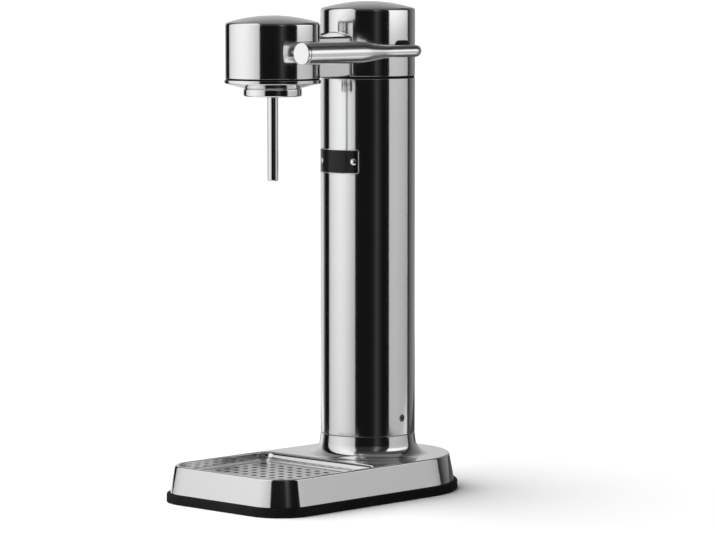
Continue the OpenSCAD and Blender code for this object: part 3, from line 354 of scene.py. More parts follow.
def well_outline(inset):
    """The tray recess from above, as points with their outward directions and how far they lie back."""
    wide = HALF_W - RECESS_INSET - inset
    front_r = FRONT_R - RECESS_INSET - inset
    back_r = RECESS_BACK_R - inset
    front_y = FRONT_Y + RECESS_INSET + inset
    back_y = RECESS_BACK_Y - inset
    corners = [
        (wide - back_r, back_y - back_r, back_r, 0),
        (back_r - wide, back_y - back_r, back_r, 90),
        (front_r - wide, front_y + front_r, front_r, 180),
        (wide - front_r, front_y + front_r, front_r, 270),
    ]
    spots = []
    for x, y, r, start in corners:
        for i in range(17):
            a = math.radians(start + 90 * i / 16)
            out = Vector((math.cos(a), math.sin(a), 0))
            spots.append((Vector((x, y, 0)) + r * out, out))
    return spots


def well_loop(spots, outset, z):
    """One level of the recess: its outline moved out by one distance, or by one for each spot."""
    steps = outset if isinstance(outset, list) else [outset] * len(spots)
    drops = z if isinstance(z, list) else [z] * len(spots)
    return [point + out * step + Vector((0, 0, drop))
            for (point, out), step, drop in zip(spots, steps, drops)]


# Pieces of the base

def make_foot():
    """Rubber foot: a rounded rim round a flat floor, with the cylinder's and the screws' openings."""
    floor_z = 3
    rim_w = 6
    play = 0.05
    low_edge = 0.6
    top_edge = 1.2
    screw_hole_r = 4
    bay_r = 33
    screw_back_y = COLUMN_Y + 42
    corner_x = HALF_W - FRONT_R
    corner_y = FRONT_Y + FRONT_R
    screws = [(-corner_x, corner_y), (corner_x, corner_y),
              (-HALF_W / 2, screw_back_y), (HALF_W / 2, screw_back_y)]
    rim = arc(play + low_edge, low_edge, low_edge, 270, 180, 4)
    rim += arc(play + top_edge, FOOT_TOP - top_edge, top_edge, 180, 90, EDGE_STEPS)
    bm = bmesh.new()
    rim += [(rim_w, FOOT_TOP), (rim_w, floor_z)]
    rows = skin(bm, [plan_loop(inset, z) for inset, z in rim], ring=False)
    holes = [(0, COLUMN_Y, bay_r, 72)] + [(x, y, screw_hole_r, 24) for x, y in screws]
    tops, lows = [], []
    for x, y, r, steps in holes:
        low, top = turned(bm, [(r, 0), (r, floor_z)], (x, y, 0), ring=False, steps=steps)
        lows.append(low)
        tops.append(top)
    fill_between(bm, [rows[0]] + lows)
    fill_between(bm, [rows[-1]] + tops)
    make_piece("foot_moulding", bm, RUBBER, "stand", ["rubber_foot"], 50, True)


def make_base():
    """Base pressing: leaning sides, round edges, the tray recess and the collar, as one sheet."""
    tilt = math.degrees(math.atan((SHELL_TOP_INSET - SHELL_INSET) / (DECK_Z - FOOT_TOP)))
    edge_inset = SHELL_TOP_INSET + DECK_EDGE
    turns = [math.radians(tilt + (90 - tilt) * i / EDGE_STEPS) for i in range(EDGE_STEPS + 1)]
    edge = [(edge_inset - DECK_EDGE * math.cos(a), DECK_Z - DECK_EDGE * (1 - math.sin(a))) for a in turns]
    sides = [(SHELL_INSET + 0.5, FOOT_TOP), (SHELL_INSET, FOOT_TOP + 0.4)] + edge
    bm = bmesh.new()
    outer = skin(bm, [plan_loop(inset, z) for inset, z in sides], ring=False)

    spots = well_outline(0)
    back_share = [max(0, out.y) ** 2 for _, out in spots]
    rounding = [RIM_EDGE + (BACK_EDGE - RIM_EDGE) * share for share in back_share]
    levels = []
    for i in range(EDGE_STEPS + 1):
        a = math.radians(90 * i / EDGE_STEPS)
        levels.append(well_loop(spots, [r * (1 - math.sin(a)) for r in rounding],
                                [DECK_Z - r * (1 - math.cos(a)) for r in rounding]))
    floor_bend = 2
    for x, z in arc(-floor_bend, RECESS_FLOOR_Z + floor_bend, floor_bend, 0, -90, EDGE_STEPS):
        levels.append(well_loop(spots, x, z))
    well = skin(bm, levels, ring=False)
    close_loop(bm, well[-1])

    lean = math.radians(COLLAR_LEAN)
    land = shell_high.z - COLLAR_EDGE - DECK_Z - COLLAR_BLEND * (1 - math.sin(lean))
    blend_r = COLUMN_R + land * math.tan(lean) + COLLAR_BLEND * math.cos(lean)
    blend = arc(blend_r, DECK_Z + COLLAR_BLEND, COLLAR_BLEND, 270, 180 + COLLAR_LEAN, 16)
    lip = arc(COLUMN_R - COLLAR_EDGE, shell_high.z - COLLAR_EDGE, COLLAR_EDGE, 0, 90, 4)
    collar = turned(bm, blend + lip + [(COLUMN_R - TUBE_WALL, shell_high.z)], COLUMN_AXIS, ring=False)
    fill_between(bm, [outer[-1], well[0], collar[0]])
    base = make_piece("base_pressing", bm, POLISH, "stand", ["base_shell"], 40)
    sheet = base.modifiers.new("sheet", "SOLIDIFY")
    sheet.thickness = SHELL_T * MM
    sheet.offset = -1
    weights = base.modifiers.new("flat_faces_first", "WEIGHTED_NORMAL")
    weights.keep_sharp = True


def drain_spots():
    """Middles of the drain holes: a square grid that keeps a plain border."""
    half_w = tray_high.x
    corner_r = FRONT_R - RECESS_INSET - TRAY_PLAY
    columns = int((half_w - HOLE_MARGIN) / HOLE_PITCH)
    rows = int((tray_high.y - tray_low.y - 2 * HOLE_MARGIN) / HOLE_PITCH)
    first_y = (tray_high.y + tray_low.y - rows * HOLE_PITCH) / 2
    spots = []
    for i in range(-columns, columns + 1):
        for j in range(rows + 1):
            x = i * HOLE_PITCH
            y = first_y + j * HOLE_PITCH
            past_x = max(0, abs(x) - (half_w - corner_r))
            past_y = max(0, tray_low.y + corner_r - y)
            if math.hypot(past_x, past_y) < corner_r - HOLE_MARGIN + HOLE_R:
                spots.append((x, y))
    return spots


def make_tray():
    """Drip tray: a pressed plate with round drain holes, painted shade inside them, and a turned-up edge."""
    low = tray_low.z
    plate = low + TRAY_PLATE_T
    lip_r = TRAY_LIP / 2
    spots = well_outline(TRAY_PLAY)
    section = [(-1, low), (-0.3, low + 0.3), (0, low + 1)]
    section += [(x, z) for x, z in arc(-lip_r, tray_high.z - lip_r, lip_r, 0, 180, 8)]
    section += arc(-TRAY_LIP - TRAY_BEND, plate + TRAY_BEND, TRAY_BEND, 0, -90, EDGE_STEPS)
    bm = bmesh.new()
    rows = skin(bm, [well_loop(spots, x, z) for x, z in section], ring=False)
    drain = [(HOLE_R + HOLE_EDGE, plate), (HOLE_R, plate - HOLE_EDGE), (HOLE_R, low)]
    tops, lows = [], []
    for x, y in drain_spots():
        hole = turned(bm, drain, (x, y, 0), ring=False, steps=HOLE_STEPS)
        # The holes' chamfers and walls take the second material, a near black steel: painted shade inside the
        # holes.
        for face in {face for vert in hole[1] for face in vert.link_faces}:
            face.material_index = 1
        tops.append(hole[0])
        lows.append(hole[-1])
    fill_between(bm, [rows[-1]] + tops)
    fill_between(bm, [rows[0]] + lows)
    tray = make_piece("drain_tray", bm, TRAY_STEEL, "drip_tray", ["drip_tray"], 40, True)
    tray.data.materials.append(HOLE_SHADE_STEEL)


# Pieces of the column and the head

def drill(bm, radii, hole_z, hole_r, reach):
    """Opens a round hole through the column's +X wall, skin by skin, and lines it."""
    rings = []
    for r in radii:
        patch = [f for f in bm.faces if all(
            abs(math.hypot(v.co.x, v.co.y - COLUMN_Y) - r) < 0.01 and v.co.x > 0
            and abs(v.co.y - COLUMN_Y) < reach + 0.01
            and abs(v.co.z - hole_z) < reach + 0.01 for v in f.verts)]
        inner = set(patch)
        rim = {v for f in patch for v in f.verts if any(g not in inner for g in v.link_faces)}
        bmesh.ops.delete(bm, geom=patch, context="FACES")
        rim = sorted(rim, key=lambda v: math.atan2(v.co.z - hole_z, v.co.y - COLUMN_Y))
        rows = [rim]
        for share in (0.5, 1):
            row = []
            for v in rim:
                y = v.co.y - COLUMN_Y
                z = v.co.z - hole_z
                shrink = 1 + (hole_r / math.hypot(y, z) - 1) * share
                row.append(bm.verts.new((math.sqrt(r * r - (y * shrink) ** 2), COLUMN_Y + y * shrink,
                                         hole_z + z * shrink)))
            rows.append(row)
        for one, other in zip(rows, rows[1:]):
            for i in range(len(one)):
                j = (i + 1) % len(one)
                bm.faces.new((one[i], one[j], other[j], other[i]))
        rings.append(rows[-1])
    for i in range(len(rings[0])):
        j = (i + 1) % len(rings[0])
        bm.faces.new((rings[0][i], rings[0][j], rings[1][j], rings[1][i]))


def wall_rows(hole_z, reach, count):
    """Levels across a hole's patch, so that its rim has points on every side."""
    return [hole_z + reach * (2 * i / count - 1) for i in range(count + 1)]


def make_column():
    """Column tube with softly broken ends and the hole of its fixing screw."""
    inner_r = COLUMN_R - TUBE_WALL
    hole_z = (screw_low.z + screw_high.z) / 2
    hole_r = (screw_high.z - screw_low.z) / 2 + 0.15
    reach = 5.5
    rows = wall_rows(hole_z, reach, 10)
    middle_r = COLUMN_R - TUBE_EDGE
    low = tube_low.z + COLLAR_GAP
    outside = arc(COLUMN_R - COLLAR_EDGE, low + COLLAR_EDGE, COLLAR_EDGE, -90, 0, 4)
    outside += [(COLUMN_R, z) for z in rows]
    outside += arc(middle_r, tube_high.z - TUBE_EDGE, TUBE_EDGE, 0, 90, 4)
    inside = [(inner_r, tube_high.z)] + [(inner_r, z) for z in reversed(rows)] + [(inner_r, low)]
    bm = bmesh.new()
    turned(bm, outside + inside, COLUMN_AXIS)
    drill(bm, (COLUMN_R, inner_r), hole_z, hole_r, reach)
    make_piece("polished_column", bm, POLISH, "stand", ["column_tube"], 35, True)


def can_outline(r, edge, low, dome_r, centre):
    """A domed can's outline from its crown to its lower edge."""
    x = r - edge
    z = centre + math.sqrt((dome_r - edge) ** 2 - x * x)
    meet = math.degrees(math.atan2(z - centre, x))
    return arc(0, centre, dome_r, 90, meet, DOME_STEPS) + arc(x, z, edge, meet, 0, 10)[1:] + [(r, low)]


def can_profile(r, top, low, rows=()):
    """Outside and inside of a domed can, with a softly broken lower edge and extra levels on its wall."""
    dome_r = (r * r + DOME_RISE * DOME_RISE) / (2 * DOME_RISE)
    centre = top - dome_r
    levels = list(reversed(rows))
    outside = can_outline(r, DOME_EDGE, low, dome_r, centre)[:-1]
    outside += [(r, z) for z in levels] + arc(r - TUBE_EDGE, low + TUBE_EDGE, TUBE_EDGE, 0, -90, 4)
    inner_r = r - CAN_WALL
    inside = can_outline(inner_r, DOME_EDGE - CAN_WALL + 0.5, low, dome_r - CAN_WALL, centre)
    inside = inside[:-1] + [(inner_r, z) for z in levels] + inside[-1:]
    return outside + inside[::-1]


def make_cap():
    """Column cap: a domed can with the hole that the lever's bush sits in."""
    hole_r = SLEEVE_R + 0.1
    reach = hole_r + 3
    bm = bmesh.new()
    rows = wall_rows(PIVOT_Z, reach, 18)
    turned(bm, can_profile(COLUMN_R, cap_high.z, cap_low.z, rows), COLUMN_AXIS, ring=False)
    drill(bm, (COLUMN_R, COLUMN_R - CAN_WALL), PIVOT_Z, hole_r, reach)
    make_piece("polished_cap", bm, POLISH, "stand", ["column_cap"], 35, True)


def make_head():
    """Bottle head: a domed can."""
    bm = bmesh.new()
    turned(bm, can_profile(HEAD_R, head_high.z, head_low.z), HEAD_AXIS, ring=False)
    make_piece("polished_head", bm, POLISH, "stand", ["head_cover"], 35, True)


def bridge_section(grow):
    """The bridge from in front: flat sides under a crowned top, grown by a distance at sides and top."""
    half_w = bridge_high.x + grow
    crown_r = (bridge_high.x ** 2 + BRIDGE_CROWN ** 2) / (2 * BRIDGE_CROWN)
    lean = math.degrees(math.asin(bridge_high.x / crown_r))
    side_top = bridge_high.z - BRIDGE_CROWN + grow
    shoulder = 0.8
    points = arc(half_w - BRIDGE_EDGE, bridge_low.z + BRIDGE_EDGE, BRIDGE_EDGE, -90, 0, EDGE_STEPS)
    points += [(half_w, bridge_low.z + (side_top - bridge_low.z) * i / 8) for i in range(1, 8)]
    points.append((half_w, side_top - shoulder))
    scale = half_w / bridge_high.x
    crown = arc(0, bridge_high.z + grow - crown_r, crown_r, 90 - lean, 90 + lean, 24)
    points += [(x * scale, z) for x, z in crown[1:-1]]
    points.append((-half_w, side_top - shoulder))
    points += [(-half_w, side_top - (side_top - bridge_low.z) * i / 8) for i in range(1, 8)]
    points += arc(BRIDGE_EDGE - half_w, bridge_low.z + BRIDGE_EDGE, BRIDGE_EDGE, 180, 270, EDGE_STEPS)
    return points


def make_bridge():
    """Bridge between cap and head, with a hollow blend into each of them."""
    steps = 8
    blends = [BRIDGE_FILLET * (1 - math.cos(math.radians(90 * i / steps))) for i in range(steps + 1)]
    grows = [BRIDGE_FILLET * (1 - math.sin(math.radians(90 * i / steps))) for i in range(steps + 1)]
    stations = list(zip(blends, grows))

    def near_wall(axis_y, wall_r, facing, away, grow):
        """A section bent to the wall of a can and set off from it."""
        loop = []
        for x, z in bridge_section(grow):
            y = axis_y + facing * (math.sqrt(wall_r ** 2 - x * x) + away)
            loop.append(Vector((x, y, z)))
        return loop

    loops = [near_wall(COLUMN_Y, COLUMN_R, -1, away, grow) for away, grow in stations]
    loops += [near_wall(HEAD_Y, HEAD_R, 1, away, grow) for away, grow in reversed(stations)]
    bm = bmesh.new()
    rows = skin(bm, loops, ring=False)
    for row in (rows[0], rows[-1]):
        close_loop(bm, row)
    make_piece("polished_bridge", bm, POLISH, "stand", ["bridge_cover"], 30, True)


def make_dish():
    """Dished cover under the head: an upright rim and a shallow cone down to the bottle mouth."""
    rim_r = dish_high.x
    side = 2.1
    bend = 1
    inner_r = 22.1
    top_edge = 0.25
    skin_t = 1.4
    low = ring_high.z
    bowl = arc(rim_r - bend, dish_high.z - side, bend, 0, -78, 10)
    end_r, end_z = bowl[-1]
    cone = [(end_r + (ring_high.x - end_r) * i / 8, end_z + (low - end_z) * i / 8) for i in range(1, 9)]
    outside = arc(rim_r - top_edge, dish_high.z - top_edge, top_edge, 90, 0, 3)
    outside += bowl + cone + [(inner_r, low)]
    inside = [(inner_r, low + skin_t), (rim_r - 3.4, end_z + skin_t), (rim_r - 3, dish_high.z)]
    bm = bmesh.new()
    turned(bm, outside + inside, HEAD_AXIS)
    make_piece("under_dish", bm, POLISH, "stand", ["head_dish"], 35, True)


def make_mouth_ring():
    """Polished ring round the bottle mouth."""
    r = ring_high.x
    low_edge = 1.5
    top_edge = 1.7
    inner_r = 19
    wall_r = r - 1.9
    lip_t = 0.8
    bm = bmesh.new()
    outside = arc(r - top_edge, ring_high.z - top_edge, top_edge, 90, 0, EDGE_STEPS)
    outside += arc(r - low_edge, ring_low.z + low_edge, low_edge, 0, -90, EDGE_STEPS)
    inside = arc(inner_r + lip_t / 2, ring_low.z + lip_t / 2, lip_t / 2, -90, -270, EDGE_STEPS)
    inside += [(wall_r, ring_low.z + lip_t), (wall_r, ring_high.z)]
    turned(bm, outside + inside, HEAD_AXIS)
    make_piece("mouth_ring", bm, POLISH, "stand", ["bottle_ring"], 35, True)


def make_nozzle():
    """Nozzle tube with a rounded tip."""
    r = nozzle_high.x
    bore_r = 3
    edge = 1.3
    bm = bmesh.new()
    outside = [(r, nozzle_high.z)] + arc(r - edge, nozzle_low.z + edge, edge, 0, -90, EDGE_STEPS)
    inside = [(bore_r, nozzle_low.z + 0.2), (bore_r, nozzle_high.z)]
    turned(bm, outside + inside, HEAD_AXIS, steps=SMALL_TURN_STEPS)
    make_piece("nozzle_pipe", bm, POLISH, "stand", ["nozzle_tube"], 35, True)


# Fixing screw, bush and badge

def hexagon_r(r, turn):
    """Distance from the middle to a hexagon's side, in a given direction."""
    part = math.radians((math.degrees(turn) % 60) - 30)
    return r * math.cos(math.radians(30)) / math.cos(part)


def make_set_screw():
    """Fixing screw: a chamfered plug with a hexagon socket, seen on the column's +X side."""
    r = (screw_high.z - screw_low.z) / 2
    middle = Vector((0, (screw_low.y + screw_high.y) / 2, (screw_low.z + screw_high.z) / 2))
    face_x = screw_high.x
    steps = 48
    socket_r = 1.5
    socket_depth = 1.2
    chamfer = 0.7

    def level(x, spread):
        turns = [2 * math.pi * i / steps for i in range(steps)]
        return [middle + Vector((x, spread(a) * math.cos(a), spread(a) * math.sin(a))) for a in turns]

    bm = bmesh.new()
    loops = [
        level(screw_low.x, lambda a: 0),
        level(screw_low.x, lambda a: r),
        level(face_x - chamfer, lambda a: r),
        level(face_x, lambda a: r - chamfer),
        level(face_x, lambda a: hexagon_r(socket_r + 0.15, a)),
        level(face_x - 0.2, lambda a: hexagon_r(socket_r, a)),
        level(face_x - socket_depth, lambda a: hexagon_r(socket_r, a)),
        level(face_x - socket_depth - 0.4, lambda a: 0),
    ]
    skin(bm, loops, ring=False)
    make_piece("set_screw", bm, BLACK_STEEL, "stand", ["fixing_screw"], 30)


def make_bush():
    """Black bush: a sleeve in the cap's wall and a thin arched plate that shows above the lever's tail."""
    bore_r = LEVER_TAIL_R + 0.05
    half_w = (bush_high.y - bush_low.y) / 2
    rise = bush_high.z - PIVOT_Z
    below = 4.4
    corner = 4.2
    edge = 0.25
    back = 0.02
    front = bush_high.x - COLUMN_R

    def on_wall(y, z, proud):
        """A place off the cap's wall, counted from the axle."""
        return Vector((math.sqrt((COLUMN_R + proud) ** 2 - y * y), COLUMN_Y + y, PIVOT_Z + z))

    bm = bmesh.new()
    length = COLUMN_R - 0.1 - bush_low.x
    sleeve = [(SLEEVE_R, 0), (SLEEVE_R, length), (bore_r, length), (bore_r, 0)]
    turned(bm, sleeve, (bush_low.x, COLUMN_Y, PIVOT_Z), (1, 0, 0), steps=SMALL_TURN_STEPS)
    outline = [(half_w, -below), (half_w, 0)] + arc(half_w - corner, rise - corner, corner, 0, 90, 8)
    outline += [((half_w - corner) * (1 - i / 4), rise) for i in range(1, 5)]
    outline += [(-y, z) for y, z in reversed(outline[:-1])]
    sections = []
    for y, z in outline:
        away = math.hypot(y, z)
        bore_y, bore_z = y * bore_r / away, z * bore_r / away
        edge_y, edge_z = y * (1 - edge / away), z * (1 - edge / away)
        sections.append([on_wall(y, z, back), on_wall(y, z, front - edge), on_wall(edge_y, edge_z, front),
                         on_wall(bore_y, bore_z, front), on_wall(bore_y, bore_z, back)])
    rows = skin(bm, sections, ring=False)
    for row in (rows[0], rows[-1]):
        close_loop(bm, row)
    make_piece("lever_grommet", bm, PLASTIC, "stand", ["lever_bush"])


def badge_loop(inset, r, shrink=1):
    """A rounded rectangle laid round the column at radius r, drawn in towards its middle."""
    half_w = (badge_high.x - badge_low.x) / 2 - inset
    half_h = (badge_high.z - badge_low.z) / 2 - inset
    middle_z = (badge_low.z + badge_high.z) / 2
    corner = max(2.5 - inset, 0.4)
    corners = [(half_w - corner, half_h - corner, 0), (corner - half_w, half_h - corner, 90),
               (corner - half_w, corner - half_h, 180), (half_w - corner, corner - half_h, 270)]
    flat = []
    for x, z, start in corners:
        flat += arc(x, z, corner, start, start + 90, 8)
        if start in (0, 180):
            side = 1 if start == 0 else -1
            flat += [(side * (half_w - corner) * (1 - i / 12), side * half_h) for i in range(1, 24)]
    points = []
    for x, z in flat:
        turn = math.asin(x * shrink / COLUMN_R)
        points.append(Vector((r * math.sin(turn), COLUMN_Y - r * math.cos(turn), middle_z + z * shrink)))
    return points


def make_badge():
    """Bare badge: a bright raised border, a black field and two rivet heads."""
    back_r = COLUMN_R + 0.02
    top_r = COLUMN_Y - badge_low.y
    field_r = COLUMN_R + 0.6
    inlay_r = COLUMN_Y - inlay_low.y
    border = 1.1
    edge = 0.3
    shares = (0.85, 0.7, 0.5, 0.3, 0.15, 0)
    bm = bmesh.new()
    loops = [badge_loop(0, back_r, share) for share in reversed(shares)]
    loops += [badge_loop(0, back_r), badge_loop(0, top_r - edge), badge_loop(edge * 0.3, top_r - edge * 0.3),
              badge_loop(edge, top_r), badge_loop(border - edge, top_r), badge_loop(border, top_r - edge),
              badge_loop(border, field_r)]
    loops += [badge_loop(border, field_r, share) for share in shares]
    skin(bm, loops, ring=False)
    make_piece("badge_frame", bm, POLISH, "stand", ["badge_plate"], 30)

    bm = bmesh.new()
    play = border + 0.1
    loops = [badge_loop(play, field_r + 0.01, share) for share in reversed(shares)]
    loops += [badge_loop(play, field_r + 0.01), badge_loop(play, inlay_r - 0.08)]
    loops.append(badge_loop(play + 0.1, inlay_r))
    loops += [badge_loop(play + 0.1, inlay_r, share) for share in shares]
    skin(bm, loops, ring=False)
    make_piece("badge_field", bm, ENAMEL, "stand", ["badge_inlay"], 50)

    rivet_r = 2.7
    rivet_h = 0.9
    rivet_off = 18
    head_r = (rivet_r ** 2 + rivet_h ** 2) / (2 * rivet_h)
    lean = math.degrees(math.asin(rivet_r / head_r))
    middle_z = (badge_low.z + badge_high.z) / 2
    bm = bmesh.new()
    for side in (-1, 1):
        turn = side * math.asin(rivet_off / COLUMN_R)
        out = Vector((math.sin(turn), -math.cos(turn), 0))
        seat = COLUMN_AXIS + out * (inlay_r + 0.02) + Vector((0, 0, middle_z))
        dome = arc(0, rivet_h - head_r, head_r, 90 - lean, 90, 8)
        shank = [(0, -1.2), (rivet_r * 0.5, -1.2), (rivet_r * 0.5, 0), (rivet_r - 0.1, 0)]
        turned(bm, shank + dome, seat, out, ring=False, steps=48)
    make_piece("badge_studs", bm, POLISH, "stand", ["badge_rivets"], 40)


# Lever

def lever_radius(along):
    """Radius of the lever at a distance from its pivot: thin tail, a cone with soft ends, thick grip."""
    blend = 0.3
    length = COLUMN_Y - disc_low.y
    share = (along - (length - LEVER_GRIP - LEVER_TAPER)) / LEVER_TAPER
    share = min(max(share, 0), 1)
    soft = min(share, 1 - share)
    rise = soft * soft / (2 * blend) if soft < blend else soft - blend / 2
    rise /= 1 - blend
    return LEVER_TAIL_R + (LEVER_R - LEVER_TAIL_R) * (rise if share < 0.5 else 1 - rise)


def make_lever():
    """Lever: axle, bend, thin tail and thick grip in one bar."""
    steps = 72
    bend = LEVER_BEND
    length = COLUMN_Y - lever_low.y
    edge = 0.35
    axle_end = Vector((lever_low.x, COLUMN_Y, PIVOT_Z))
    stations = [(axle_end, 0, 0), (axle_end, 0, LEVER_TAIL_R)]
    for i in range(13):
        turn = math.radians(90 * i / 12)
        x = LEVER_X - bend + bend * math.sin(turn)
        y = COLUMN_Y - bend + bend * math.cos(turn)
        centre = Vector((x, y, PIVOT_Z))
        stations.append((centre, turn, LEVER_TAIL_R))
    straight = 96
    for i in range(1, straight + 1):
        along = bend + (length - edge - bend) * i / straight
        stations.append((Vector((LEVER_X, COLUMN_Y - along, PIVOT_Z)), math.pi / 2, lever_radius(along)))
    tip = Vector((LEVER_X, lever_low.y, PIVOT_Z))
    stations.append((tip, math.pi / 2, LEVER_R - edge))
    stations.append((tip, math.pi / 2, 0))
    loops = []
    for centre, turn, r in stations:
        side = Vector((math.sin(turn), math.cos(turn), 0))
        loops.append([centre + r * (side * math.cos(a) + Vector((0, 0, math.sin(a))))
                      for a in [2 * math.pi * i / steps for i in range(steps)]])
    bm = bmesh.new()
    skin(bm, loops, ring=False)
    # The bar takes the lighter copy of the polished steel: a painted brighter reflection.
    make_piece("lever_bar", bm, BRIGHTER_LEVER_STEEL, "lever", ["lever"], 35)


def make_lever_disc():
    """Disc on the front end of the grip, with a broken edge and a fine groove behind it."""
    r = (disc_high.z - disc_low.z) / 2
    thick = disc_high.y - disc_low.y
    groove = 0.4
    edge = 0.8
    profile = [(0, 0), (r - groove, 0), (r - groove, groove), (r - 0.1, groove), (r, groove + 0.1)]
    profile += arc(r - edge, thick - edge, edge, 0, 90, EDGE_STEPS)
    profile += [(r * share, thick) for share in (0.7, 0.4, 0)]
    bm = bmesh.new()
    turned(bm, profile, (LEVER_X, disc_high.y, PIVOT_Z), (0, -1, 0), ring=False, steps=SMALL_TURN_STEPS)
    make_piece("lever_face", bm, POLISH, "lever", ["lever_disc"], 50, True)


# Camera, studio and light

TO_CAMERA = Vector((math.sin(CAMERA_TURN), -math.cos(CAMERA_TURN), 0))
TO_RIGHT = Vector((math.cos(CAMERA_TURN), math.sin(CAMERA_TURN), 0))


def make_camera():
    """The photograph's camera."""
    turn = CAMERA_TURN + CAMERA_YAW
    forward = Vector((-math.sin(turn) * math.cos(CAMERA_PITCH), math.cos(turn) * math.cos(CAMERA_PITCH),
                      -math.sin(CAMERA_PITCH)))
    right = Vector((math.cos(turn), math.sin(turn), 0))
    up = right.cross(forward)
    place = COLUMN_AXIS * MM + TO_CAMERA * CAMERA_REACH + Vector((0, 0, CAMERA_HEIGHT))
    data = bpy.data.cameras.new("camera")
    data.sensor_width = SENSOR_MM
    data.lens = SENSOR_MM * FOCAL_PX / PHOTO_W_PX
    data.clip_end = 100
    camera = bpy.data.objects.new("camera", data)
    camera.matrix_world = Matrix.Translation(place) @ Matrix((right, up, -forward)).transposed().to_4x4()
    bpy.context.scene.collection.objects.link(camera)
    bpy.context.scene.camera = camera


def ramp_node(tree, value, stops):
    """Grey tones along a value from 0 to 1."""
    ramp = tree.nodes.new("ShaderNodeValToRGB")
    elements = ramp.color_ramp.elements
    while len(elements) > 1:
        elements.remove(elements[0])
    elements[0].position = stops[0][0]
    elements[0].color = (stops[0][1],) * 3 + (1,)
    for place, tone in stops[1:]:
        elements.new(place).color = (tone,) * 3 + (1,)
    tree.links.new(value, ramp.inputs["Fac"])
    return ramp.outputs["Color"]


def studio_sheet(name, lower, upper, along, upward):
    """A studio flat that only reflections see: tones along its edges times tones from lower to upper edge."""
    run = [0.0]
    for one, other in zip(lower, lower[1:]):
        run.append(run[-1] + (other - one).length)
    verts = [p for pair in zip(lower, upper) for p in pair]
    faces = [(2 * i, 2 * i + 2, 2 * i + 3, 2 * i + 1) for i in range(len(lower) - 1)]
    mesh = bpy.data.meshes.new(name)
    mesh.from_pydata(verts, [], faces)
    layer = mesh.uv_layers.new(name="tones")
    for loop in mesh.loops:
        station, top = divmod(loop.vertex_index, 2)
        layer.data[loop.index].uv = (run[station] / run[-1], top)
    material = bpy.data.materials.new(name)
    material.use_nodes = True
    tree = material.node_tree
    tree.nodes.clear()
    place = tree.nodes.new("ShaderNodeUVMap")
    split = tree.nodes.new("ShaderNodeSeparateXYZ")
    tree.links.new(place.outputs["UV"], split.inputs["Vector"])
    product = tree.nodes.new("ShaderNodeMix")
    product.data_type = "RGBA"
    product.blend_type = "MULTIPLY"
    product.inputs["Factor"].default_value = 1
    tree.links.new(ramp_node(tree, split.outputs["X"], along), product.inputs["A"])
    tree.links.new(ramp_node(tree, split.outputs["Y"], upward), product.inputs["B"])
    glow = tree.nodes.new("ShaderNodeEmission")
    tree.links.new(product.outputs["Result"], glow.inputs["Color"])
    output = tree.nodes.new("ShaderNodeOutputMaterial")
    tree.links.new(glow.outputs["Emission"], output.inputs["Surface"])
    mesh.materials.append(material)
    show_in_mirrors_only(bpy.data.objects.new(name, mesh))


def show_in_mirrors_only(flat):
    """Puts a piece of the studio where only reflections see it."""
    bpy.context.scene.collection.objects.link(flat)
    flat.visible_camera = False
    flat.visible_diffuse = False
    flat.visible_shadow = False


def studio_point(u, r, z):
    """A place in metres from the column's axis: towards the camera, to its right, and up."""
    return COLUMN_AXIS * MM + TO_CAMERA * u + TO_RIGHT * r + Vector((0, 0, z))


def studio_flat(name, plan, low, high, along, upward):
    """An upright flat over a plan line, its upward tones given by real heights."""
    lower = [studio_point(u, r, low) for u, r in plan]
    upper = [studio_point(u, r, high) for u, r in plan]
    studio_sheet(name, lower, upper, along, [((z - low) / (high - low), tone) for z, tone in upward])


def plan_arc(r, start, end, steps=32):
    """A plan line round the column, in degrees from the camera, to the right."""
    turns = [math.radians(start + (end - start) * i / steps) for i in range(steps + 1)]
    return [(r * math.cos(a), r * math.sin(a)) for a in turns]


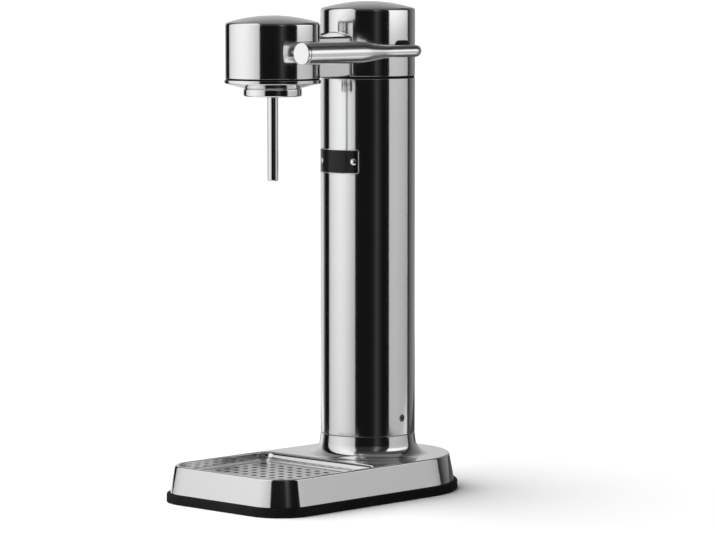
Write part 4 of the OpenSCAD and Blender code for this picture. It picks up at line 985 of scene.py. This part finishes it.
def make_studio():
    """Softbox, reflector and flags as the polished walls mirror them."""
    softbox_back = (-0.080, -0.348)
    softbox_front = (1.492, -0.886)
    even = [(0, 1), (1, 1)]
    back_rise = [(0, 1), (0.4, 0.95), (0.62, 0.9), (1.05, 0.72), (1.33, 0.65), (1.53, 0.55), (1.97, 0.35),
                 (2.29, 0.3), (2.9, 0.29)]
    studio_flat("softbox", [softbox_back, softbox_front], -0.4, 1.4,
                [(0, 0.62), (0.04, 0.84), (0.1, 0.95), (0.156, 1), (0.26, 0.95), (0.31, 0.88),
                 (0.4, 0.815), (0.49, 0.75), (0.64, 0.675), (1, 0.6)],
                [(-0.4, 0.66), (0, 0.78), (0.4, 1), (1.4, 1)])
    studio_flat("softbox_rim", [(-0.220, -0.253), softbox_back], -0.4, 1.4,
                [(0, 0.3), (0.35, 0.02), (0.5, 0.003), (0.93, 0.003), (1, 0.2)], even)
    studio_flat("front_flag", plan_arc(2.3, -60, 85, 48), -2, 3,
                [(0, 0.006), (0.45, 0.007), (0.51, 0.012), (0.54, 0.032), (0.555, 0.046), (0.585, 0.034),
                 (0.62, 0.018), (0.66, 0.006), (1, 0.006)],
                [(-2, 1), (0.45, 1), (0.7, 4), (3, 4)])
    studio_flat("reflector", [(0.427, 0.550), (-0.516, 1.365)], -0.6, 2,
                [(0, 0.585), (0.15, 0.575), (0.5, 0.52), (0.8, 0.46), (1, 0.38)],
                [(-0.6, 0.1), (-0.46, 0.2), (-0.4, 1.75), (-0.12, 1.75), (-0.06, 0.86), (0, 0.88), (0.37, 1),
                 (0.395, 1.9), (0.7, 1.9), (0.8, 0.15), (2, 0.1)])
    studio_flat("back_flag", plan_arc(2.4, 112, 180), -2, 3,
                [(0, 0.02), (0.074, 0.025), (0.13, 0.06), (0.22, 0.12), (0.41, 0.21), (0.7, 0.3), (1, 0.65)],
                back_rise)
    studio_flat("back_wall", plan_arc(2.4, 180, 250), -2, 3, [(0, 0.65), (0.4, 0.7), (1, 0.7)], back_rise)
    roof = 2.9
    wide = 2.5
    studio_sheet("roof", [studio_point(-wide, -wide, roof), studio_point(wide, -wide, roof)],
                 [studio_point(-wide, wide, roof), studio_point(wide, wide, roof)],
                 [(0, 0.19), (0.45, 0.18), (0.644, 0.093), (0.8, 0.05), (0.95, 0.03), (1, 0.02)], even)


def floor_sheet(name, points, material):
    """One flat face of the floor."""
    mesh = bpy.data.meshes.new(name)
    mesh.from_pydata(points, [], [tuple(range(len(points)))])
    mesh.materials.append(material)
    return bpy.data.objects.new(name, mesh)


def make_floor():
    """Plain pale floor that takes the shadow; the metal mirrors instead a glowing sheet round the object, a
    painted reflection of the floor.
    """
    reach = 40
    material, _, shader = new_material("floor")
    shader.inputs["Base Color"].default_value = (0.95, 0.95, 0.95, 1)
    shader.inputs["Roughness"].default_value = 0.9
    shader.inputs["Specular IOR Level"].default_value = 0
    corners = [(-reach, -reach, 0), (reach, -reach, 0), (reach, reach, 0), (-reach, reach, 0)]
    floor = floor_sheet("floor", corners, material)
    bpy.context.scene.collection.objects.link(floor)
    floor.visible_glossy = False
    lift = 0.0002
    far, left, right = -1.2, -0.4, 0.34
    near_left, near_right = -0.05, 0.3
    # A glowing sheet just over the floor that only reflections see: a painted reflection of the lit floor,
    # bright on the left and darker towards the right.
    studio_sheet("floor_reflection_glow", [studio_point(far, left, lift), studio_point(far, right, lift)],
                 [studio_point(near_left, left, lift), studio_point(near_right, right, lift)],
                 [(0, 1), (0.11, 0.95), (0.22, 0.75), (0.32, 0.5), (0.54, 0.22), (0.67, 0.1),
                  (0.8, 0.06), (1, 0.055)],
                 [(0, 1), (1, 1)])


def make_light():
    """Soft light from the left and above, over an even sky, with a white background."""
    sky_level = 0.17
    world = bpy.data.worlds.new("studio")
    world.use_nodes = True
    bpy.context.scene.world = world
    tree = world.node_tree
    tree.nodes.clear()
    path = tree.nodes.new("ShaderNodeLightPath")
    seen = tree.nodes.new("ShaderNodeMath")
    seen.operation = "MAXIMUM"
    tree.links.new(path.outputs["Is Camera Ray"], seen.inputs[0])
    tree.links.new(path.outputs["Is Glossy Ray"], seen.inputs[1])
    shown = tree.nodes.new("ShaderNodeMath")
    shown.operation = "MAXIMUM"
    tree.links.new(seen.outputs["Value"], shown.inputs[0])
    tree.links.new(path.outputs["Is Transmission Ray"], shown.inputs[1])
    sky = tree.nodes.new("ShaderNodeBackground")
    sky.inputs["Strength"].default_value = sky_level
    white = tree.nodes.new("ShaderNodeBackground")
    white.inputs["Color"].default_value = (1, 1, 1, 1)
    sky.inputs["Color"].default_value = (1, 1, 1, 1)
    mix = tree.nodes.new("ShaderNodeMixShader")
    tree.links.new(shown.outputs["Value"], mix.inputs["Fac"])
    tree.links.new(sky.outputs["Background"], mix.inputs[1])
    tree.links.new(white.outputs["Background"], mix.inputs[2])
    output = tree.nodes.new("ShaderNodeOutputWorld")
    tree.links.new(mix.outputs["Shader"], output.inputs["Surface"])

    data = bpy.data.lights.new("key", "SUN")
    data.energy = 4.9
    data.angle = math.radians(95)
    key = bpy.data.objects.new("key", data)
    aim = TO_RIGHT * 1.2 + TO_CAMERA * 0.05 - Vector((0, 0, 1))
    key.matrix_world = aim.to_track_quat("-Z", "Y").to_matrix().to_4x4()
    key.visible_glossy = False
    bpy.context.scene.collection.objects.link(key)


def main():
    scene = bpy.context.scene
    scene.view_settings.view_transform = "Standard"
    make_camera()
    make_studio()
    make_floor()
    make_light()
    dress_solids()
    make_foot()
    make_base()
    make_tray()
    make_column()
    make_cap()
    make_head()
    make_bridge()
    make_dish()
    make_mouth_ring()
    make_nozzle()
    make_set_screw()
    make_bush()
    make_badge()
    make_lever()
    make_lever_disc()


main()
bpy.context.view_layer.update()
